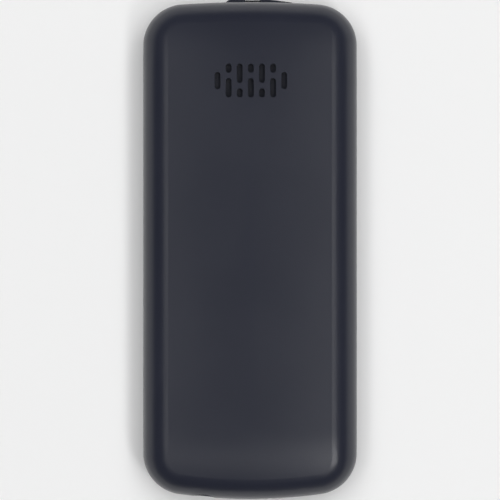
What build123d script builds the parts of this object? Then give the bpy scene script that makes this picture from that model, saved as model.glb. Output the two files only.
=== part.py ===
from build123d import *
from math import atan, degrees
import os

# A bar-shaped feature phone, lying on the rim of its front. Lengths are in millimetres.
# +Z is out of the back, +Y is the loudspeaker end, and the origin is under the middle of the
# whole phone, on the plane of the front rim.

# Whole body
body_width = 49.0
body_length = 114.0
body_thickness = 14.6
corner_radius = 9.5
top_arc_radius = 240.0
bottom_arc_radius = 120.0
crown_radius = 240.0
end_fall_length = 16.0
end_fall_radius = 46.0
end_fall_turn = 30.0
back_round = 6.4
front_round = 2.2
parting_height = 7.0
parting_gap = 0.1
scoop_y = -38.0
scoop_radius = 22.0
scoop_depth = 0.55
scoop_height = 0.9
overrun = 2.0

# How far from upright a face's normal may lean and still count as a wall's
upright_share = 1e-6

# Torch hood on the top end, seen from the back
hood_rise = 0.8
hood_left_foot = 5.7
hood_left_shoulder = 4.6
hood_right_shoulder = 3.6
hood_right_foot = 9.6
hood_root = 1.2
hood_shoulder_round = 1.2
hood_slope_height = 1.1

# Shells
cover_wall = 1.1
cover_gap = 0.15
rear_wall = 1.1
rear_foot_height = 5.3
housing_wall = 1.4
housing_gap = 0.1

# Loudspeaker grille
grille_offset = 0.2
grille_pitch = 2.52
grille_slot_width = 1.3
grille_long_slot = 4.35
grille_short_slot = 2.05
grille_slot_gap = 1.25
grille_outer_slot = 3.9
grille_inner_columns = 5

# Loudspeaker
speaker_inset = 18.45
speaker_radius = 9.0
speaker_gap = 0.3
speaker_thickness = 4.0
speaker_floor_height = 8.2
speaker_floor_thickness = 1.0
speaker_wall = 1.0
speaker_rim = 1.2
speaker_cone_depth = 1.0
speaker_cone_taper = 30.0
speaker_cap_radius = 2.6
gasket_thickness = 0.8
gasket_width = 1.0

# Battery and its bay
battery_width = 34.0
battery_length = 53.0
battery_thickness = 5.4
battery_gap = 0.3
battery_lift = 0.1
battery_round = 1.0
bay_floor_height = 7.1
bay_floor_thickness = 0.7
bay_wall = 1.0
bay_corner = 0.8
nail_notch_width = 12.0
nail_notch_depth = 2.4
nail_notch_drop = 3.6
connector_width = 10.0
connector_depth = 2.8
connector_height = 3.6
connector_gap = 0.2
contact_width = 1.2
contact_pitch = 3.0
contact_height = 0.5
contact_reach = 1.5
contact_pad_depth = 0.2
contact_pad_length = 2.2

# Screws and their posts
screw_x = 20.6
screw_end_inset = 11.5
screw_radius = 0.7
screw_head_radius = 1.3
screw_head_height = 0.8
screw_head_gap = 0.15
screw_fit_gap = 0.05
screw_length = 5.0
screw_seat_height = 8.0
screw_slot_width = 0.35
screw_slot_depth = 0.4
boss_radius = 1.25
boss_gap = 0.35
post_radius = 2.3

# Board and what it carries on its front
board_front_height = 4.2
board_thickness = 0.8
board_inset = 1.9
board_ledge_width = 1.0
dome_film_thickness = 0.1
dome_rise = 0.25
dome_radius = 2.2
dome_film_margin = 1.6

# Display
window_width = 40.0
window_length = 46.0
window_top_inset = 8.5
window_thickness = 0.9
window_set_back = 0.25
window_tape = 0.05
window_corner = 3.0
window_gap = 0.1
window_frame_width = 0.8
window_frame_thickness = 0.7
view_width = 31.0
view_length = 39.0
view_corner = 0.8
lcd_width = 36.0
lcd_length = 44.0
lcd_thickness = 1.9
lcd_gasket_thickness = 0.3
lcd_gasket_width = 1.2
lcd_glass_depth = 0.3
flex_width = 14.0
flex_thickness = 0.15
flex_landing = 2.4

# Keypad, counted down from the window
key_travel = 0.4
key_front_height = 0.2
field_depth = 0.6
field_top_gap = 2.0
field_side_margin = 3.5
field_end_margin = 4.4
field_corner = 6.0
key_opening_gap = 0.15
key_corner = 1.7
key_edge_round = 0.35
nub_radius = 0.45
nub_rise = 0.12
flange_width = 0.25
flange_gap = 0.05
flange_thickness = 0.5
stem_radius = 1.3
stem_gap = 0.45
mat_gap = 0.05
mat_thickness = 0.4
mat_hole_gap = 0.3
mat_inset = 2.6
mat_rim_width = 0.8
key_columns = 3
key_column_pitch = 12.9
key_width = 11.9
key_row_gap = 1.4
key_field_margin = 1.0
nav_width = 17.0
nav_length = 14.0
nav_corner = 5.0
nav_top_margin = 2.2
nav_set_back = 0.15
nav_ring_depth = 1.05
nav_ring_round = 0.4
nav_base_height = 1.7
nav_base_thickness = 0.4
nav_base_margin = 0.7
nav_stem_radius = 0.8
nav_stem_inset = 1.7
nav_gap = 0.25
select_width = 7.2
select_length = 6.2
select_corner = 2.6
select_set_back = 0.05
function_key_width = 9.2
function_key_gap = 1.2
function_key_x = 14.3
number_rows = 4

# Sockets in the bottom end
audio_x = -10.5
audio_bore_radius = 1.8
audio_collar_radius = 2.35
audio_block_width = 6.4
audio_block_length = 12.0
audio_block_height = 4.8
audio_collar_length = 3.6
audio_mouth_inset = 1.2
audio_bore_length = 13.5
usb_x = 4.5
usb_width = 7.5
usb_height = 2.6
usb_length = 5.4
usb_wall = 0.3
usb_mouth_inset = 0.7
usb_corner = 0.6
usb_tongue_width = 3.8
usb_tongue_height = 0.6
usb_tongue_length = 3.4
socket_gap = 0.15
usb_slot_gap = 0.3

# Sound and torch at the ends
earpiece_width = 10.0
earpiece_length = 4.4
earpiece_thickness = 1.8
earpiece_inset = 5.1
earpiece_slot_length = 2.8
earpiece_slot_width = 0.9
earpiece_slot_pitch = 3.4
earpiece_slots = 3
mesh_thickness = 0.15
microphone_x = 3.8
microphone_width = 3.8
microphone_length = 2.4
microphone_thickness = 1.1
microphone_inset = 3.5
microphone_gap = 0.3
microphone_hole_radius = 0.5
boot_wall = 0.4
mat_edge_gap = 0.2
mat_top_gap = 0.4
torch_x = 0.6
torch_height = 4.5
torch_width = 6.0
torch_lens_height = 2.6
torch_lens_gap = 0.1
torch_lens_round = 0.4
torch_flange_width = 0.8
torch_flange_length = 0.8
torch_lens_set_back = 0.3
led_width = 3.2
led_length = 2.2
led_height = 1.2
led_gap = 0.4
led_dome_radius = 0.6
led_dome_length = 0.3

# Vibration motor beside the loudspeaker
motor_x = 15.5
motor_radius = 2.2
motor_length = 7.5
motor_lift = 0.2
motor_shaft_radius = 0.4
motor_cradle_width = 3.0
weight_radius = 2.0
weight_length = 3.4
weight_gap = 0.5
weight_bore_gap = 0.05
weight_hub_radius = 1.0

# Card holders in the bay floor
sim_width = 14.6
sim_length = 16.4
sim_height = 1.3
sim_wall = 0.25
sim_spacing = 16.4
sim_inset = 3.4
sim_window_width = 7.0
sim_window_length = 6.0
card_width = 12.4
card_length = 14.0
card_gap = 3.0
holder_gap = 0.3

# Shields
shield_thickness = 0.2
shield_height = 1.6
rf_shield_width = 22.0
rf_shield_length = 15.0
rf_shield_x = -3.0
processor_shield_width = 14.0
processor_shield_length = 12.0
processor_shield_x = 1.0
shield_gap = 0.6
shield_corner = 0.5
shield_hole_radius = 0.5
shield_hole_pitch = 3.0
shield_hole_columns = 4
shield_hole_rows = 3

# Antenna on the rear housing's lower end
antenna_width = 34.0
antenna_length = 8.0
antenna_thickness = 0.25
antenna_height = 11.3
antenna_gap = 0.25
antenna_inset = 8.5
antenna_floor = 0.9
antenna_slot_width = 0.9
antenna_slot_length = 12.0
antenna_leg_width = 1.4
antenna_leg_spacing = 6.0
antenna_leg_x = 10.0
antenna_leg_gap = 0.2

# Tongues that hold the cover's skirt
tongue_length = 5.0
tongue_thickness = 0.6
tongue_drop = 1.2
tongue_rise = 1.6
tongue_wall_gap = 0.15
tongue_gap = 0.2
tongue_y_spacing = 22.0
tongue_count = 4
cover_rib_width = 0.6
cover_rib_depth = 0.35
cover_rib_length = 40.0
cover_rib_spacing = 9.0
cover_rib_count = 2

# Places worked out from the sizes
body_mid_y = -hood_rise / 2
top_y = body_length / 2
bottom_y = -body_length / 2
board_back_height = board_front_height + board_thickness
rear_inset = cover_wall + cover_gap
cover_inner_height = body_thickness - cover_wall

speaker_y = top_y - speaker_inset
drum_radius = speaker_radius + speaker_gap + speaker_wall
connector_y = speaker_y - drum_radius - connector_depth / 2 - connector_gap
bay_top_y = connector_y - connector_depth / 2 - contact_reach
bay_width = battery_width + 2 * battery_gap
bay_length = battery_length + 2 * battery_gap
bay_y = bay_top_y - bay_length / 2
bay_bottom_y = bay_y - bay_length / 2
battery_height = bay_floor_height + battery_lift

window_y = top_y - window_top_inset - window_length / 2
window_floor = window_set_back + window_thickness + window_tape
window_frame_back = window_floor + window_frame_thickness
lcd_height = window_frame_back + lcd_gasket_thickness
field_top_y = window_y - window_length / 2 - field_top_gap
field_bottom_y = bottom_y + field_end_margin
field_width = body_width - 2 * field_side_margin

flange_height = housing_wall + flange_gap
stem_end = board_front_height - dome_film_thickness - dome_rise - stem_gap
mat_height = flange_height + flange_thickness + key_travel + mat_gap
nav_y = field_top_y - nav_top_margin - nav_length / 2
nav_front = key_front_height + nav_set_back
select_front = key_front_height + select_set_back
nav_stem_x = nav_width / 2 - nav_stem_inset
nav_stem_y = nav_length / 2 - nav_stem_inset
function_key_length = (nav_length - function_key_gap) / 2
upper_function_y = nav_y + nav_length / 4 + function_key_gap / 4
lower_function_y = nav_y - nav_length / 4 - function_key_gap / 4
number_top_y = nav_y - nav_length / 2 - key_row_gap
number_bottom_y = field_bottom_y + key_field_margin
key_row_pitch = (number_top_y - number_bottom_y + key_row_gap) / number_rows
key_length = key_row_pitch - key_row_gap

screw_middle_y = (window_y - window_length / 2 + field_top_y) / 2
screw_rows = (top_y - screw_end_inset, screw_middle_y, bottom_y + screw_end_inset)
screw_spots = [(side * screw_x, row) for row in screw_rows for side in (-1, 1)]

audio_height = board_back_height + audio_block_height / 2
audio_mouth_y = bottom_y + audio_mouth_inset
audio_block_y = audio_mouth_y + audio_collar_length
usb_mid_height = board_back_height + usb_height / 2
usb_mouth_y = bottom_y + usb_mouth_inset

earpiece_y = top_y - earpiece_inset
microphone_y = bottom_y + microphone_inset
lens_front_y = top_y + hood_rise - torch_lens_set_back
flange_front_y = top_y - housing_wall - 2 * torch_lens_gap
lens_back_y = flange_front_y - torch_flange_length
led_front_y = lens_back_y - led_gap
motor_y = speaker_y - motor_length / 4
motor_height = board_back_height + motor_lift + motor_radius
sim_y = bay_top_y - sim_inset - sim_length / 2
card_y = sim_y - sim_length / 2 - card_gap - card_length / 2
processor_shield_y = bay_bottom_y - bay_wall - shield_gap - processor_shield_length / 2
antenna_y = bottom_y + antenna_inset + antenna_length / 2
antenna_leg_y = antenna_y + antenna_length / 2 - antenna_leg_width / 2
antenna_leg_spots = [(antenna_leg_x + turn * antenna_leg_spacing, antenna_leg_y) for turn in (0, 1)]
tongue_rows = [(turn - (tongue_count - 1) / 2) * tongue_y_spacing for turn in range(tongue_count)]
tongue_inset = housing_wall + tongue_wall_gap

# The keys that slide: name, place, width and length. The number pad is read from the front, where
# the first column is on the left and so lies towards +X.
number_names = (("1", "2", "3"), ("4", "5", "6"), ("7", "8", "9"), ("star", "0", "hash"))
key_plans = [
    ("soft_key_left", function_key_x, upper_function_y, function_key_width, function_key_length),
    ("soft_key_right", -function_key_x, upper_function_y, function_key_width, function_key_length),
    ("call_key", function_key_x, lower_function_y, function_key_width, function_key_length),
    ("end_key", -function_key_x, lower_function_y, function_key_width, function_key_length),
]
for row, names in enumerate(number_names):
    for column, name in enumerate(names):
        key_x = ((key_columns - 1) / 2 - column) * key_column_pitch
        key_y = number_top_y - key_length / 2 - row * key_row_pitch
        key_plans.append((f"key_{name}", key_x, key_y, key_width, key_length))
stem_spots = [(x, y) for _, x, y, _, _ in key_plans] + [(0, nav_y)]
nav_stem_spots = [(side * nav_stem_x, nav_y) for side in (-1, 1)]
nav_stem_spots += [(0, nav_y + side * nav_stem_y) for side in (-1, 1)]


def level(height):
    """A plane parallel to the rim, at a height over it, centred on the body."""
    return Plane(origin=(0, body_mid_y, height))


def across(y):
    """An upright plane across the body: its sketches hold (x, height) and grow towards -Y."""
    return Plane(origin=(0, body_mid_y + y, 0), x_dir=(1, 0, 0), z_dir=(0, -1, 0))


def lengthwise(x):
    """An upright plane along the body: its sketches hold (y, height) and grow towards +X."""
    return Plane(origin=(x, body_mid_y, 0), x_dir=(0, 1, 0), z_dir=(1, 0, 0))


def sagitta(arc_radius, half_chord):
    """How far an arc stands above its chord."""
    return arc_radius - (arc_radius**2 - half_chord**2) ** 0.5


def plan_outline(inset=0.0):
    """The body's outline from above, drawn in all round: straight sides and shallow end arcs."""
    half_width = body_width / 2 - inset
    half_length = body_length / 2 - inset
    top_corner = half_length - sagitta(top_arc_radius - inset, half_width)
    bottom_corner = sagitta(bottom_arc_radius - inset, half_width) - half_length
    with BuildSketch() as outline:
        with BuildLine():
            ThreePointArc((-half_width, top_corner), (0, half_length), (half_width, top_corner))
            Line((half_width, top_corner), (half_width, bottom_corner))
            ThreePointArc(
                (half_width, bottom_corner), (0, -half_length), (-half_width, bottom_corner)
            )
            Line((-half_width, bottom_corner), (-half_width, top_corner))
        make_face()
        fillet(outline.vertices(), corner_radius - inset)
    return outline.sketch


def body_form(inset=0.0):
    """The whole phone's pillow shape, drawn in all round: a back crowned across and falling at
    both ends, a large round where it meets the sides, and a small one at the front rim."""
    crown_axis_height = body_thickness - crown_radius
    back_height = body_thickness - inset
    flat_end = body_length / 2 - end_fall_length
    fall_radius = end_fall_radius - inset
    with BuildPart() as form:
        with BuildSketch(level(inset)):
            add(plan_outline(inset))
        extrude(amount=body_thickness - inset)
        with BuildSketch(lengthwise(0)):
            with BuildLine():
                ridge = Line((-flat_end, back_height), (flat_end, back_height))
                top_fall = JernArc(ridge @ 1, ridge % 1, fall_radius, -end_fall_turn)
                bottom_fall = JernArc(ridge @ 0, -(ridge % 0), fall_radius, end_fall_turn)
                Polyline(
                    top_fall @ 1,
                    ((top_fall @ 1).X, crown_axis_height),
                    ((bottom_fall @ 1).X, crown_axis_height),
                    bottom_fall @ 1,
                )
            make_face()
        crown_axis = Axis((0, body_mid_y, crown_axis_height), (0, 1, 0))
        revolve(axis=crown_axis, mode=Mode.INTERSECT)
        walls = form.faces().filter_by(lambda face: abs(face.normal_at().Z) < upright_share)
        high_edges = walls.edges().filter_by(
            lambda edge: edge.bounding_box().min.Z > body_thickness / 2
        )
        fillet(high_edges, back_round - inset)
        if front_round > inset:
            fillet(form.faces().sort_by(Axis.Z)[0].edges(), front_round - inset)
    return form.part


def socket_outlines(clearance, slot_clearance):
    """What passes through the bottom end, on a plane across the body."""
    with BuildSketch() as outlines:
        with Locations((audio_x, audio_height)):
            Circle(audio_collar_radius + clearance)
        with Locations((usb_x, usb_mid_height)):
            RectangleRounded(
                usb_width + 2 * slot_clearance,
                usb_height + 2 * slot_clearance,
                usb_corner + slot_clearance,
            )
    return outlines.sketch


outer_form = body_form()
cover_cavity = body_form(cover_wall)
rear_outer = body_form(rear_inset)
rear_cavity = body_form(rear_inset + rear_wall)
housing_cavity = body_form(housing_wall)
end_cut_depth = audio_mouth_inset + audio_collar_length

os.makedirs("parts", exist_ok=True)

# Rear cover: the shell over the back and the upper sides, with the loudspeaker's slots
grille_height = grille_long_slot + grille_slot_gap + grille_short_slot
with BuildPart() as rear_cover:
    add(outer_form)
    add(cover_cavity, mode=Mode.SUBTRACT)
    split(bisect_by=level(parting_height + parting_gap), keep=Keep.TOP)
    with BuildSketch(level(cover_inner_height - overrun)):
        for column in range(-(grille_inner_columns // 2), grille_inner_columns // 2 + 1):
            slot_x = grille_offset + column * grille_pitch
            short_side = 1 if column % 2 == 0 else -1
            short_y = speaker_y + short_side * (grille_height - grille_short_slot) / 2
            long_y = speaker_y - short_side * (grille_height - grille_long_slot) / 2
            with Locations((slot_x, short_y)):
                SlotOverall(grille_short_slot, grille_slot_width, rotation=90)
            with Locations((slot_x, long_y)):
                SlotOverall(grille_long_slot, grille_slot_width, rotation=90)
        for side in (-1, 1):
            outer_column = side * (grille_inner_columns // 2 + 1)
            with Locations((grille_offset + outer_column * grille_pitch, speaker_y)):
                SlotOverall(grille_outer_slot, grille_slot_width, rotation=90)
    extrude(amount=cover_wall + 2 * overrun, mode=Mode.SUBTRACT)
    with BuildSketch(across(bottom_y + end_cut_depth)):
        add(socket_outlines(socket_gap, usb_slot_gap))
    extrude(amount=end_cut_depth + overrun, mode=Mode.SUBTRACT)
    for side in (-1, 1):
        wall_x = side * body_width / 2
        for row in tongue_rows:
            with BuildSketch(across(row + tongue_length / 2)):
                with BuildLine():
                    Polyline(
                        (wall_x - side * cover_wall / 2, parting_height + tongue_gap),
                        (wall_x - side * tongue_inset, parting_height + tongue_gap),
                        (wall_x - side * tongue_inset, parting_height - tongue_drop),
                        (
                            wall_x - side * (tongue_inset + tongue_thickness),
                            parting_height - tongue_drop,
                        ),
                        (
                            wall_x - side * (tongue_inset + tongue_thickness),
                            parting_height + tongue_rise,
                        ),
                        (wall_x - side * cover_wall / 2, parting_height + tongue_rise),
                        close=True,
                    )
                make_face()
            extrude(amount=tongue_length)
    with BuildSketch(level(cover_inner_height - cover_rib_depth)):
        with Locations((0, bay_y)):
            with GridLocations(cover_rib_spacing, cover_rib_length, cover_rib_count, 1):
                Rectangle(cover_rib_width, cover_rib_length)
    extrude(amount=cover_rib_depth + cover_wall / 2)
rear_cover.part.label = "rear_cover"
export_step(rear_cover.part, "parts/rear_cover.step")

# Rear housing: the chassis under the cover, a thin shell with the battery bay, the loudspeaker's
# chamber, the screw posts and the shelf of the antenna
bay_floor_bottom = bay_floor_height - bay_floor_thickness
nail_notch_height = cover_inner_height - nail_notch_drop


def rear_void():
    """The hollow under the rear housing: its cavity, without the blocks that stand in it."""
    with BuildPart() as void:
        add(rear_cavity)
        with BuildSketch(level(bay_floor_bottom)):
            with Locations((0, bay_y)):
                RectangleRounded(
                    bay_width + 2 * bay_wall, bay_length + 2 * bay_wall, bay_corner + bay_wall
                )
        extrude(amount=body_thickness, mode=Mode.SUBTRACT)
        with BuildSketch(level(speaker_floor_height - speaker_floor_thickness)):
            with Locations((grille_offset, speaker_y)):
                Circle(drum_radius)
        extrude(amount=body_thickness, mode=Mode.SUBTRACT)
        with BuildSketch(level(parting_height)):
            with Locations(*screw_spots):
                Circle(post_radius)
        extrude(amount=body_thickness, mode=Mode.SUBTRACT)
        with BuildSketch(level(antenna_height - antenna_floor)):
            with Locations((0, antenna_y)):
                Rectangle(antenna_width + 2 * bay_wall, antenna_length + 2 * bay_wall)
        extrude(amount=body_thickness, mode=Mode.SUBTRACT)
        with BuildSketch(level(nail_notch_height - bay_wall)):
            with Locations((0, bay_bottom_y)):
                Rectangle(nail_notch_width + 2 * bay_wall, 2 * (nail_notch_depth + bay_wall))
        extrude(amount=body_thickness, mode=Mode.SUBTRACT)
    return void.part


with BuildPart() as rear_housing:
    add(rear_outer)
    add(rear_void(), mode=Mode.SUBTRACT)
    split(bisect_by=level(rear_foot_height), keep=Keep.TOP)
    with BuildSketch(level(rear_foot_height - overrun)):
        add(plan_outline())
        add(plan_outline(housing_wall + housing_gap), mode=Mode.SUBTRACT)
    extrude(amount=parting_height - rear_foot_height + overrun, mode=Mode.SUBTRACT)
    with BuildSketch(level(bay_floor_height)):
        with Locations((0, bay_y)):
            RectangleRounded(bay_width, bay_length, bay_corner)
    extrude(amount=body_thickness, mode=Mode.SUBTRACT)
    with BuildSketch(level(speaker_floor_height)):
        with Locations((grille_offset, speaker_y)):
            Circle(speaker_radius + speaker_gap)
    extrude(amount=body_thickness, mode=Mode.SUBTRACT)
    with BuildSketch(level(screw_seat_height)):
        with Locations(*screw_spots):
            Circle(screw_head_radius + screw_head_gap)
    extrude(amount=body_thickness, mode=Mode.SUBTRACT)
    with BuildSketch(level(0)):
        with Locations(*screw_spots):
            Circle(screw_radius + screw_head_gap)
    extrude(amount=body_thickness, mode=Mode.SUBTRACT)
    with BuildSketch(level(0)):
        with Locations(*screw_spots):
            Circle(boss_radius + boss_gap)
    extrude(amount=parting_height, mode=Mode.SUBTRACT)
    with BuildSketch(level(antenna_height)):
        with Locations((0, antenna_y)):
            Rectangle(antenna_width + 2 * antenna_gap, antenna_length + 2 * antenna_gap)
    extrude(amount=body_thickness, mode=Mode.SUBTRACT)
    with BuildSketch(level(antenna_height - antenna_floor - overrun)):
        with Locations(*antenna_leg_spots):
            Rectangle(
                antenna_leg_width + 2 * antenna_leg_gap, antenna_thickness + 2 * antenna_leg_gap
            )
    extrude(amount=antenna_floor + 2 * overrun, mode=Mode.SUBTRACT)
    with BuildSketch(level(bay_floor_bottom - overrun)):
        with Locations((0, sim_y)):
            with GridLocations(sim_spacing, sim_length, 2, 1):
                Rectangle(sim_width + 2 * holder_gap, sim_length + 2 * holder_gap)
        with Locations((0, card_y)):
            Rectangle(card_width + 2 * holder_gap, card_length + 2 * holder_gap)
    extrude(amount=bay_floor_thickness + 2 * overrun, mode=Mode.SUBTRACT)
    with BuildSketch(across(bay_top_y + bay_wall + overrun)):
        with Locations((0, board_back_height)):
            Rectangle(
                connector_width + 2 * holder_gap,
                connector_height + holder_gap,
                align=(Align.CENTER, Align.MIN),
            )
    extrude(amount=bay_wall + 2 * overrun, mode=Mode.SUBTRACT)
    with BuildSketch(level(nail_notch_height)):
        with Locations((0, bay_bottom_y)):
            Rectangle(nail_notch_width, 2 * nail_notch_depth)
    extrude(amount=body_thickness, mode=Mode.SUBTRACT)
    with BuildSketch(across(bottom_y + end_cut_depth)):
        add(socket_outlines(usb_slot_gap, usb_slot_gap))
    extrude(amount=end_cut_depth + overrun, mode=Mode.SUBTRACT)
    with BuildSketch(across(top_y + overrun)):
        with Locations((torch_x, torch_height)):
            Rectangle(
                torch_width + 2 * (torch_flange_width + led_gap), torch_lens_height + 2 * led_gap
            )
    extrude(amount=top_y + overrun - led_front_y + led_length + led_gap, mode=Mode.SUBTRACT)
    for side in (-1, 1):
        with BuildSketch(level(rear_foot_height - overrun)):
            with Locations(*[(side * (body_width / 2 - tongue_inset), row) for row in tongue_rows]):
                Rectangle(
                    2 * (tongue_thickness + tongue_gap), tongue_length + 2 * tongue_gap
                )
        extrude(amount=body_thickness, mode=Mode.SUBTRACT)
rear_housing.part.label = "rear_housing"
export_step(rear_housing.part, "parts/rear_housing.step")

# Front housing: the front face and the lower sides, with the bosses and the ledge of the board
key_openings_depth = housing_wall + 2 * overrun
hood_slope_floor = parting_height - hood_slope_height


def hood_outline():
    """The torch hood from above: steep at its left end, and a long ramp at its right."""
    with BuildSketch() as outline:
        with BuildLine():
            Polyline(
                (-hood_left_foot, top_y - hood_root),
                (-hood_left_foot, top_y),
                (-hood_left_shoulder, top_y + hood_rise),
                (hood_right_shoulder, top_y + hood_rise),
                (hood_right_foot, top_y),
                (hood_right_foot, top_y - hood_root),
                close=True,
            )
        make_face()
        fillet(outline.vertices().group_by(Axis.Y)[-1], hood_shoulder_round)
    return outline.sketch


with BuildPart() as front_housing:
    add(outer_form)
    add(housing_cavity, mode=Mode.SUBTRACT)
    split(bisect_by=level(parting_height), keep=Keep.BOTTOM)
    with BuildSketch(level(housing_wall)):
        add(plan_outline(housing_wall))
        add(plan_outline(housing_wall + board_ledge_width), mode=Mode.SUBTRACT)
    extrude(amount=board_front_height - housing_wall)
    with BuildSketch(level(window_floor)):
        with Locations((0, window_y)):
            RectangleRounded(
                window_width + 2 * window_frame_width,
                window_length + 2 * window_frame_width,
                window_corner + window_frame_width,
            )
    extrude(amount=window_frame_thickness)
    with BuildSketch(level(housing_wall)):
        with Locations(*screw_spots):
            Circle(boss_radius)
    extrude(amount=parting_height - housing_wall)
    with BuildSketch(level(parting_height)):
        with Locations(*screw_spots):
            Circle(screw_radius + screw_fit_gap)
    extrude(amount=-screw_length, mode=Mode.SUBTRACT)
    with BuildSketch(level(front_round)):
        add(hood_outline())
    extrude(amount=hood_slope_floor - front_round)
    with BuildSketch(level(hood_slope_floor)):
        add(hood_outline())
    extrude(amount=hood_slope_height, taper=degrees(atan(hood_rise / hood_slope_height)))
    with BuildSketch(level(0)):
        with Locations((0, window_y)):
            RectangleRounded(
                window_width + 2 * window_gap, window_length + 2 * window_gap, window_corner
            )
    extrude(amount=window_floor, mode=Mode.SUBTRACT)
    with BuildSketch(level(-overrun)):
        with Locations((0, window_y)):
            RectangleRounded(view_width, view_length, view_corner)
    extrude(amount=window_frame_back + 2 * overrun, mode=Mode.SUBTRACT)
    with BuildSketch(level(0)):
        with Locations((0, (field_top_y + field_bottom_y) / 2)):
            RectangleRounded(field_width, field_top_y - field_bottom_y, field_corner)
    extrude(amount=field_depth, mode=Mode.SUBTRACT)
    with BuildSketch(level(parting_height - scoop_height)):
        with Locations((-body_width / 2 - scoop_radius + scoop_depth, scoop_y)):
            Circle(scoop_radius)
    extrude(amount=scoop_height, mode=Mode.SUBTRACT)
    with BuildSketch(level(-overrun)):
        for name, x, y, width, length in key_plans:
            with Locations((x, y)):
                RectangleRounded(
                    width + 2 * key_opening_gap,
                    length + 2 * key_opening_gap,
                    key_corner + key_opening_gap,
                )
        with Locations((0, nav_y)):
            RectangleRounded(
                nav_width + 2 * nav_gap, nav_length + 2 * nav_gap, nav_corner + nav_gap
            )
    extrude(amount=key_openings_depth, mode=Mode.SUBTRACT)
    with BuildSketch(level(-overrun)):
        with Locations((0, earpiece_y)):
            with GridLocations(earpiece_slot_pitch, earpiece_length, earpiece_slots, 1):
                SlotOverall(earpiece_slot_length, earpiece_slot_width)
        with Locations((microphone_x, microphone_y)):
            Circle(microphone_hole_radius)
    extrude(amount=key_openings_depth, mode=Mode.SUBTRACT)
    with BuildSketch(across(bottom_y + end_cut_depth)):
        add(socket_outlines(socket_gap, usb_slot_gap))
    extrude(amount=end_cut_depth + overrun, mode=Mode.SUBTRACT)
    with BuildSketch(across(top_y + hood_rise + overrun)):
        with Locations((torch_x, torch_height)):
            SlotOverall(torch_width + 2 * torch_lens_gap, torch_lens_height + 2 * torch_lens_gap)
    extrude(amount=hood_rise + housing_wall + 2 * overrun, mode=Mode.SUBTRACT)
    with BuildSketch(across(top_y - housing_wall - torch_lens_gap)):
        with Locations((torch_x, torch_height)):
            Rectangle(
                torch_width + 2 * (torch_flange_width + torch_lens_gap),
                torch_lens_height + 2 * torch_lens_gap,
            )
    extrude(amount=board_ledge_width + overrun, mode=Mode.SUBTRACT)
    with BuildSketch(level(housing_wall)):
        with Locations((microphone_x, microphone_y)):
            Rectangle(
                microphone_width + 2 * microphone_gap, microphone_length + 2 * microphone_gap
            )
    extrude(amount=board_front_height, mode=Mode.SUBTRACT)
front_housing.part.label = "front_housing"
export_step(front_housing.part, "parts/front_housing.step")

# Display window: the clear pane in the front
with BuildPart() as display_window:
    with BuildSketch(level(window_set_back)):
        with Locations((0, window_y)):
            RectangleRounded(window_width, window_length, window_corner - window_gap)
    extrude(amount=window_thickness)
    chamfer(display_window.faces().sort_by(Axis.Z)[0].edges(), window_set_back / 2)
display_window.part.label = "display_window"
export_step(display_window.part, "parts/display_window.step")

# Foam frame between the window's ledge and the display
with BuildPart() as display_gasket:
    with BuildSketch(level(window_frame_back)):
        with Locations((0, window_y)):
            Rectangle(view_width + 2 * lcd_gasket_width, view_length + 2 * lcd_gasket_width)
            Rectangle(view_width, view_length, mode=Mode.SUBTRACT)
    extrude(amount=lcd_gasket_thickness)
display_gasket.part.label = "display_gasket"
export_step(display_gasket.part, "parts/display_gasket.step")

# Display: the panel in its frame, with the glass a little below the frame
with BuildPart() as lcd_module:
    with BuildSketch(level(lcd_height)):
        with Locations((0, window_y)):
            Rectangle(lcd_width, lcd_length)
    extrude(amount=lcd_thickness)
    with BuildSketch(level(lcd_height)):
        with Locations((0, window_y)):
            Rectangle(view_width - view_corner, view_length - view_corner)
    extrude(amount=lcd_glass_depth, mode=Mode.SUBTRACT)
lcd_module.part.label = "lcd_module"
export_step(lcd_module.part, "parts/lcd_module.step")

# Flex tail that leaves the display's lower edge and lands on the board
flex_top_y = window_y - lcd_length / 2
with BuildPart() as lcd_flex:
    with BuildSketch(lengthwise(-flex_width / 2)):
        with BuildLine():
            Polyline(
                (flex_top_y, board_front_height - flex_thickness),
                (flex_top_y - flex_landing, board_front_height - flex_thickness),
                (flex_top_y - flex_landing, board_front_height),
                (flex_top_y, board_front_height),
                close=True,
            )
        make_face()
    extrude(amount=flex_width)
lcd_flex.part.label = "lcd_flex"
export_step(lcd_flex.part, "parts/lcd_flex.step")

# The keys that slide: a cap in its opening, a flange behind the wall and a stem over its dome.
# The middle key of the number pad has a nub that a thumb can find.
nub_spot = key_edge_round + 2 * nub_radius
nub_taper = degrees(atan(nub_radius / 2 / nub_rise))
for name, x, y, width, length in key_plans:
    with BuildPart() as key:
        with BuildSketch(level(key_front_height)):
            with Locations((x, y)):
                RectangleRounded(width, length, key_corner)
        extrude(amount=flange_height - key_front_height)
        chamfer(key.faces().sort_by(Axis.Z)[0].edges(), key_edge_round)
        with BuildSketch(level(flange_height)):
            with Locations((x, y)):
                Rectangle(width + 2 * flange_width, length + 2 * flange_width)
        extrude(amount=flange_thickness)
        with BuildSketch(level(flange_height + flange_thickness)):
            with Locations((x, y)):
                Circle(stem_radius)
        extrude(amount=stem_end - flange_height - flange_thickness)
        if name == "key_5":
            with BuildSketch(level(key_front_height)):
                with Locations((x, y - length / 2 + nub_spot)):
                    Circle(nub_radius)
            extrude(amount=-nub_rise, taper=nub_taper)
    key.part.label = name
    export_step(key.part, f"parts/{name}.step")

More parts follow.
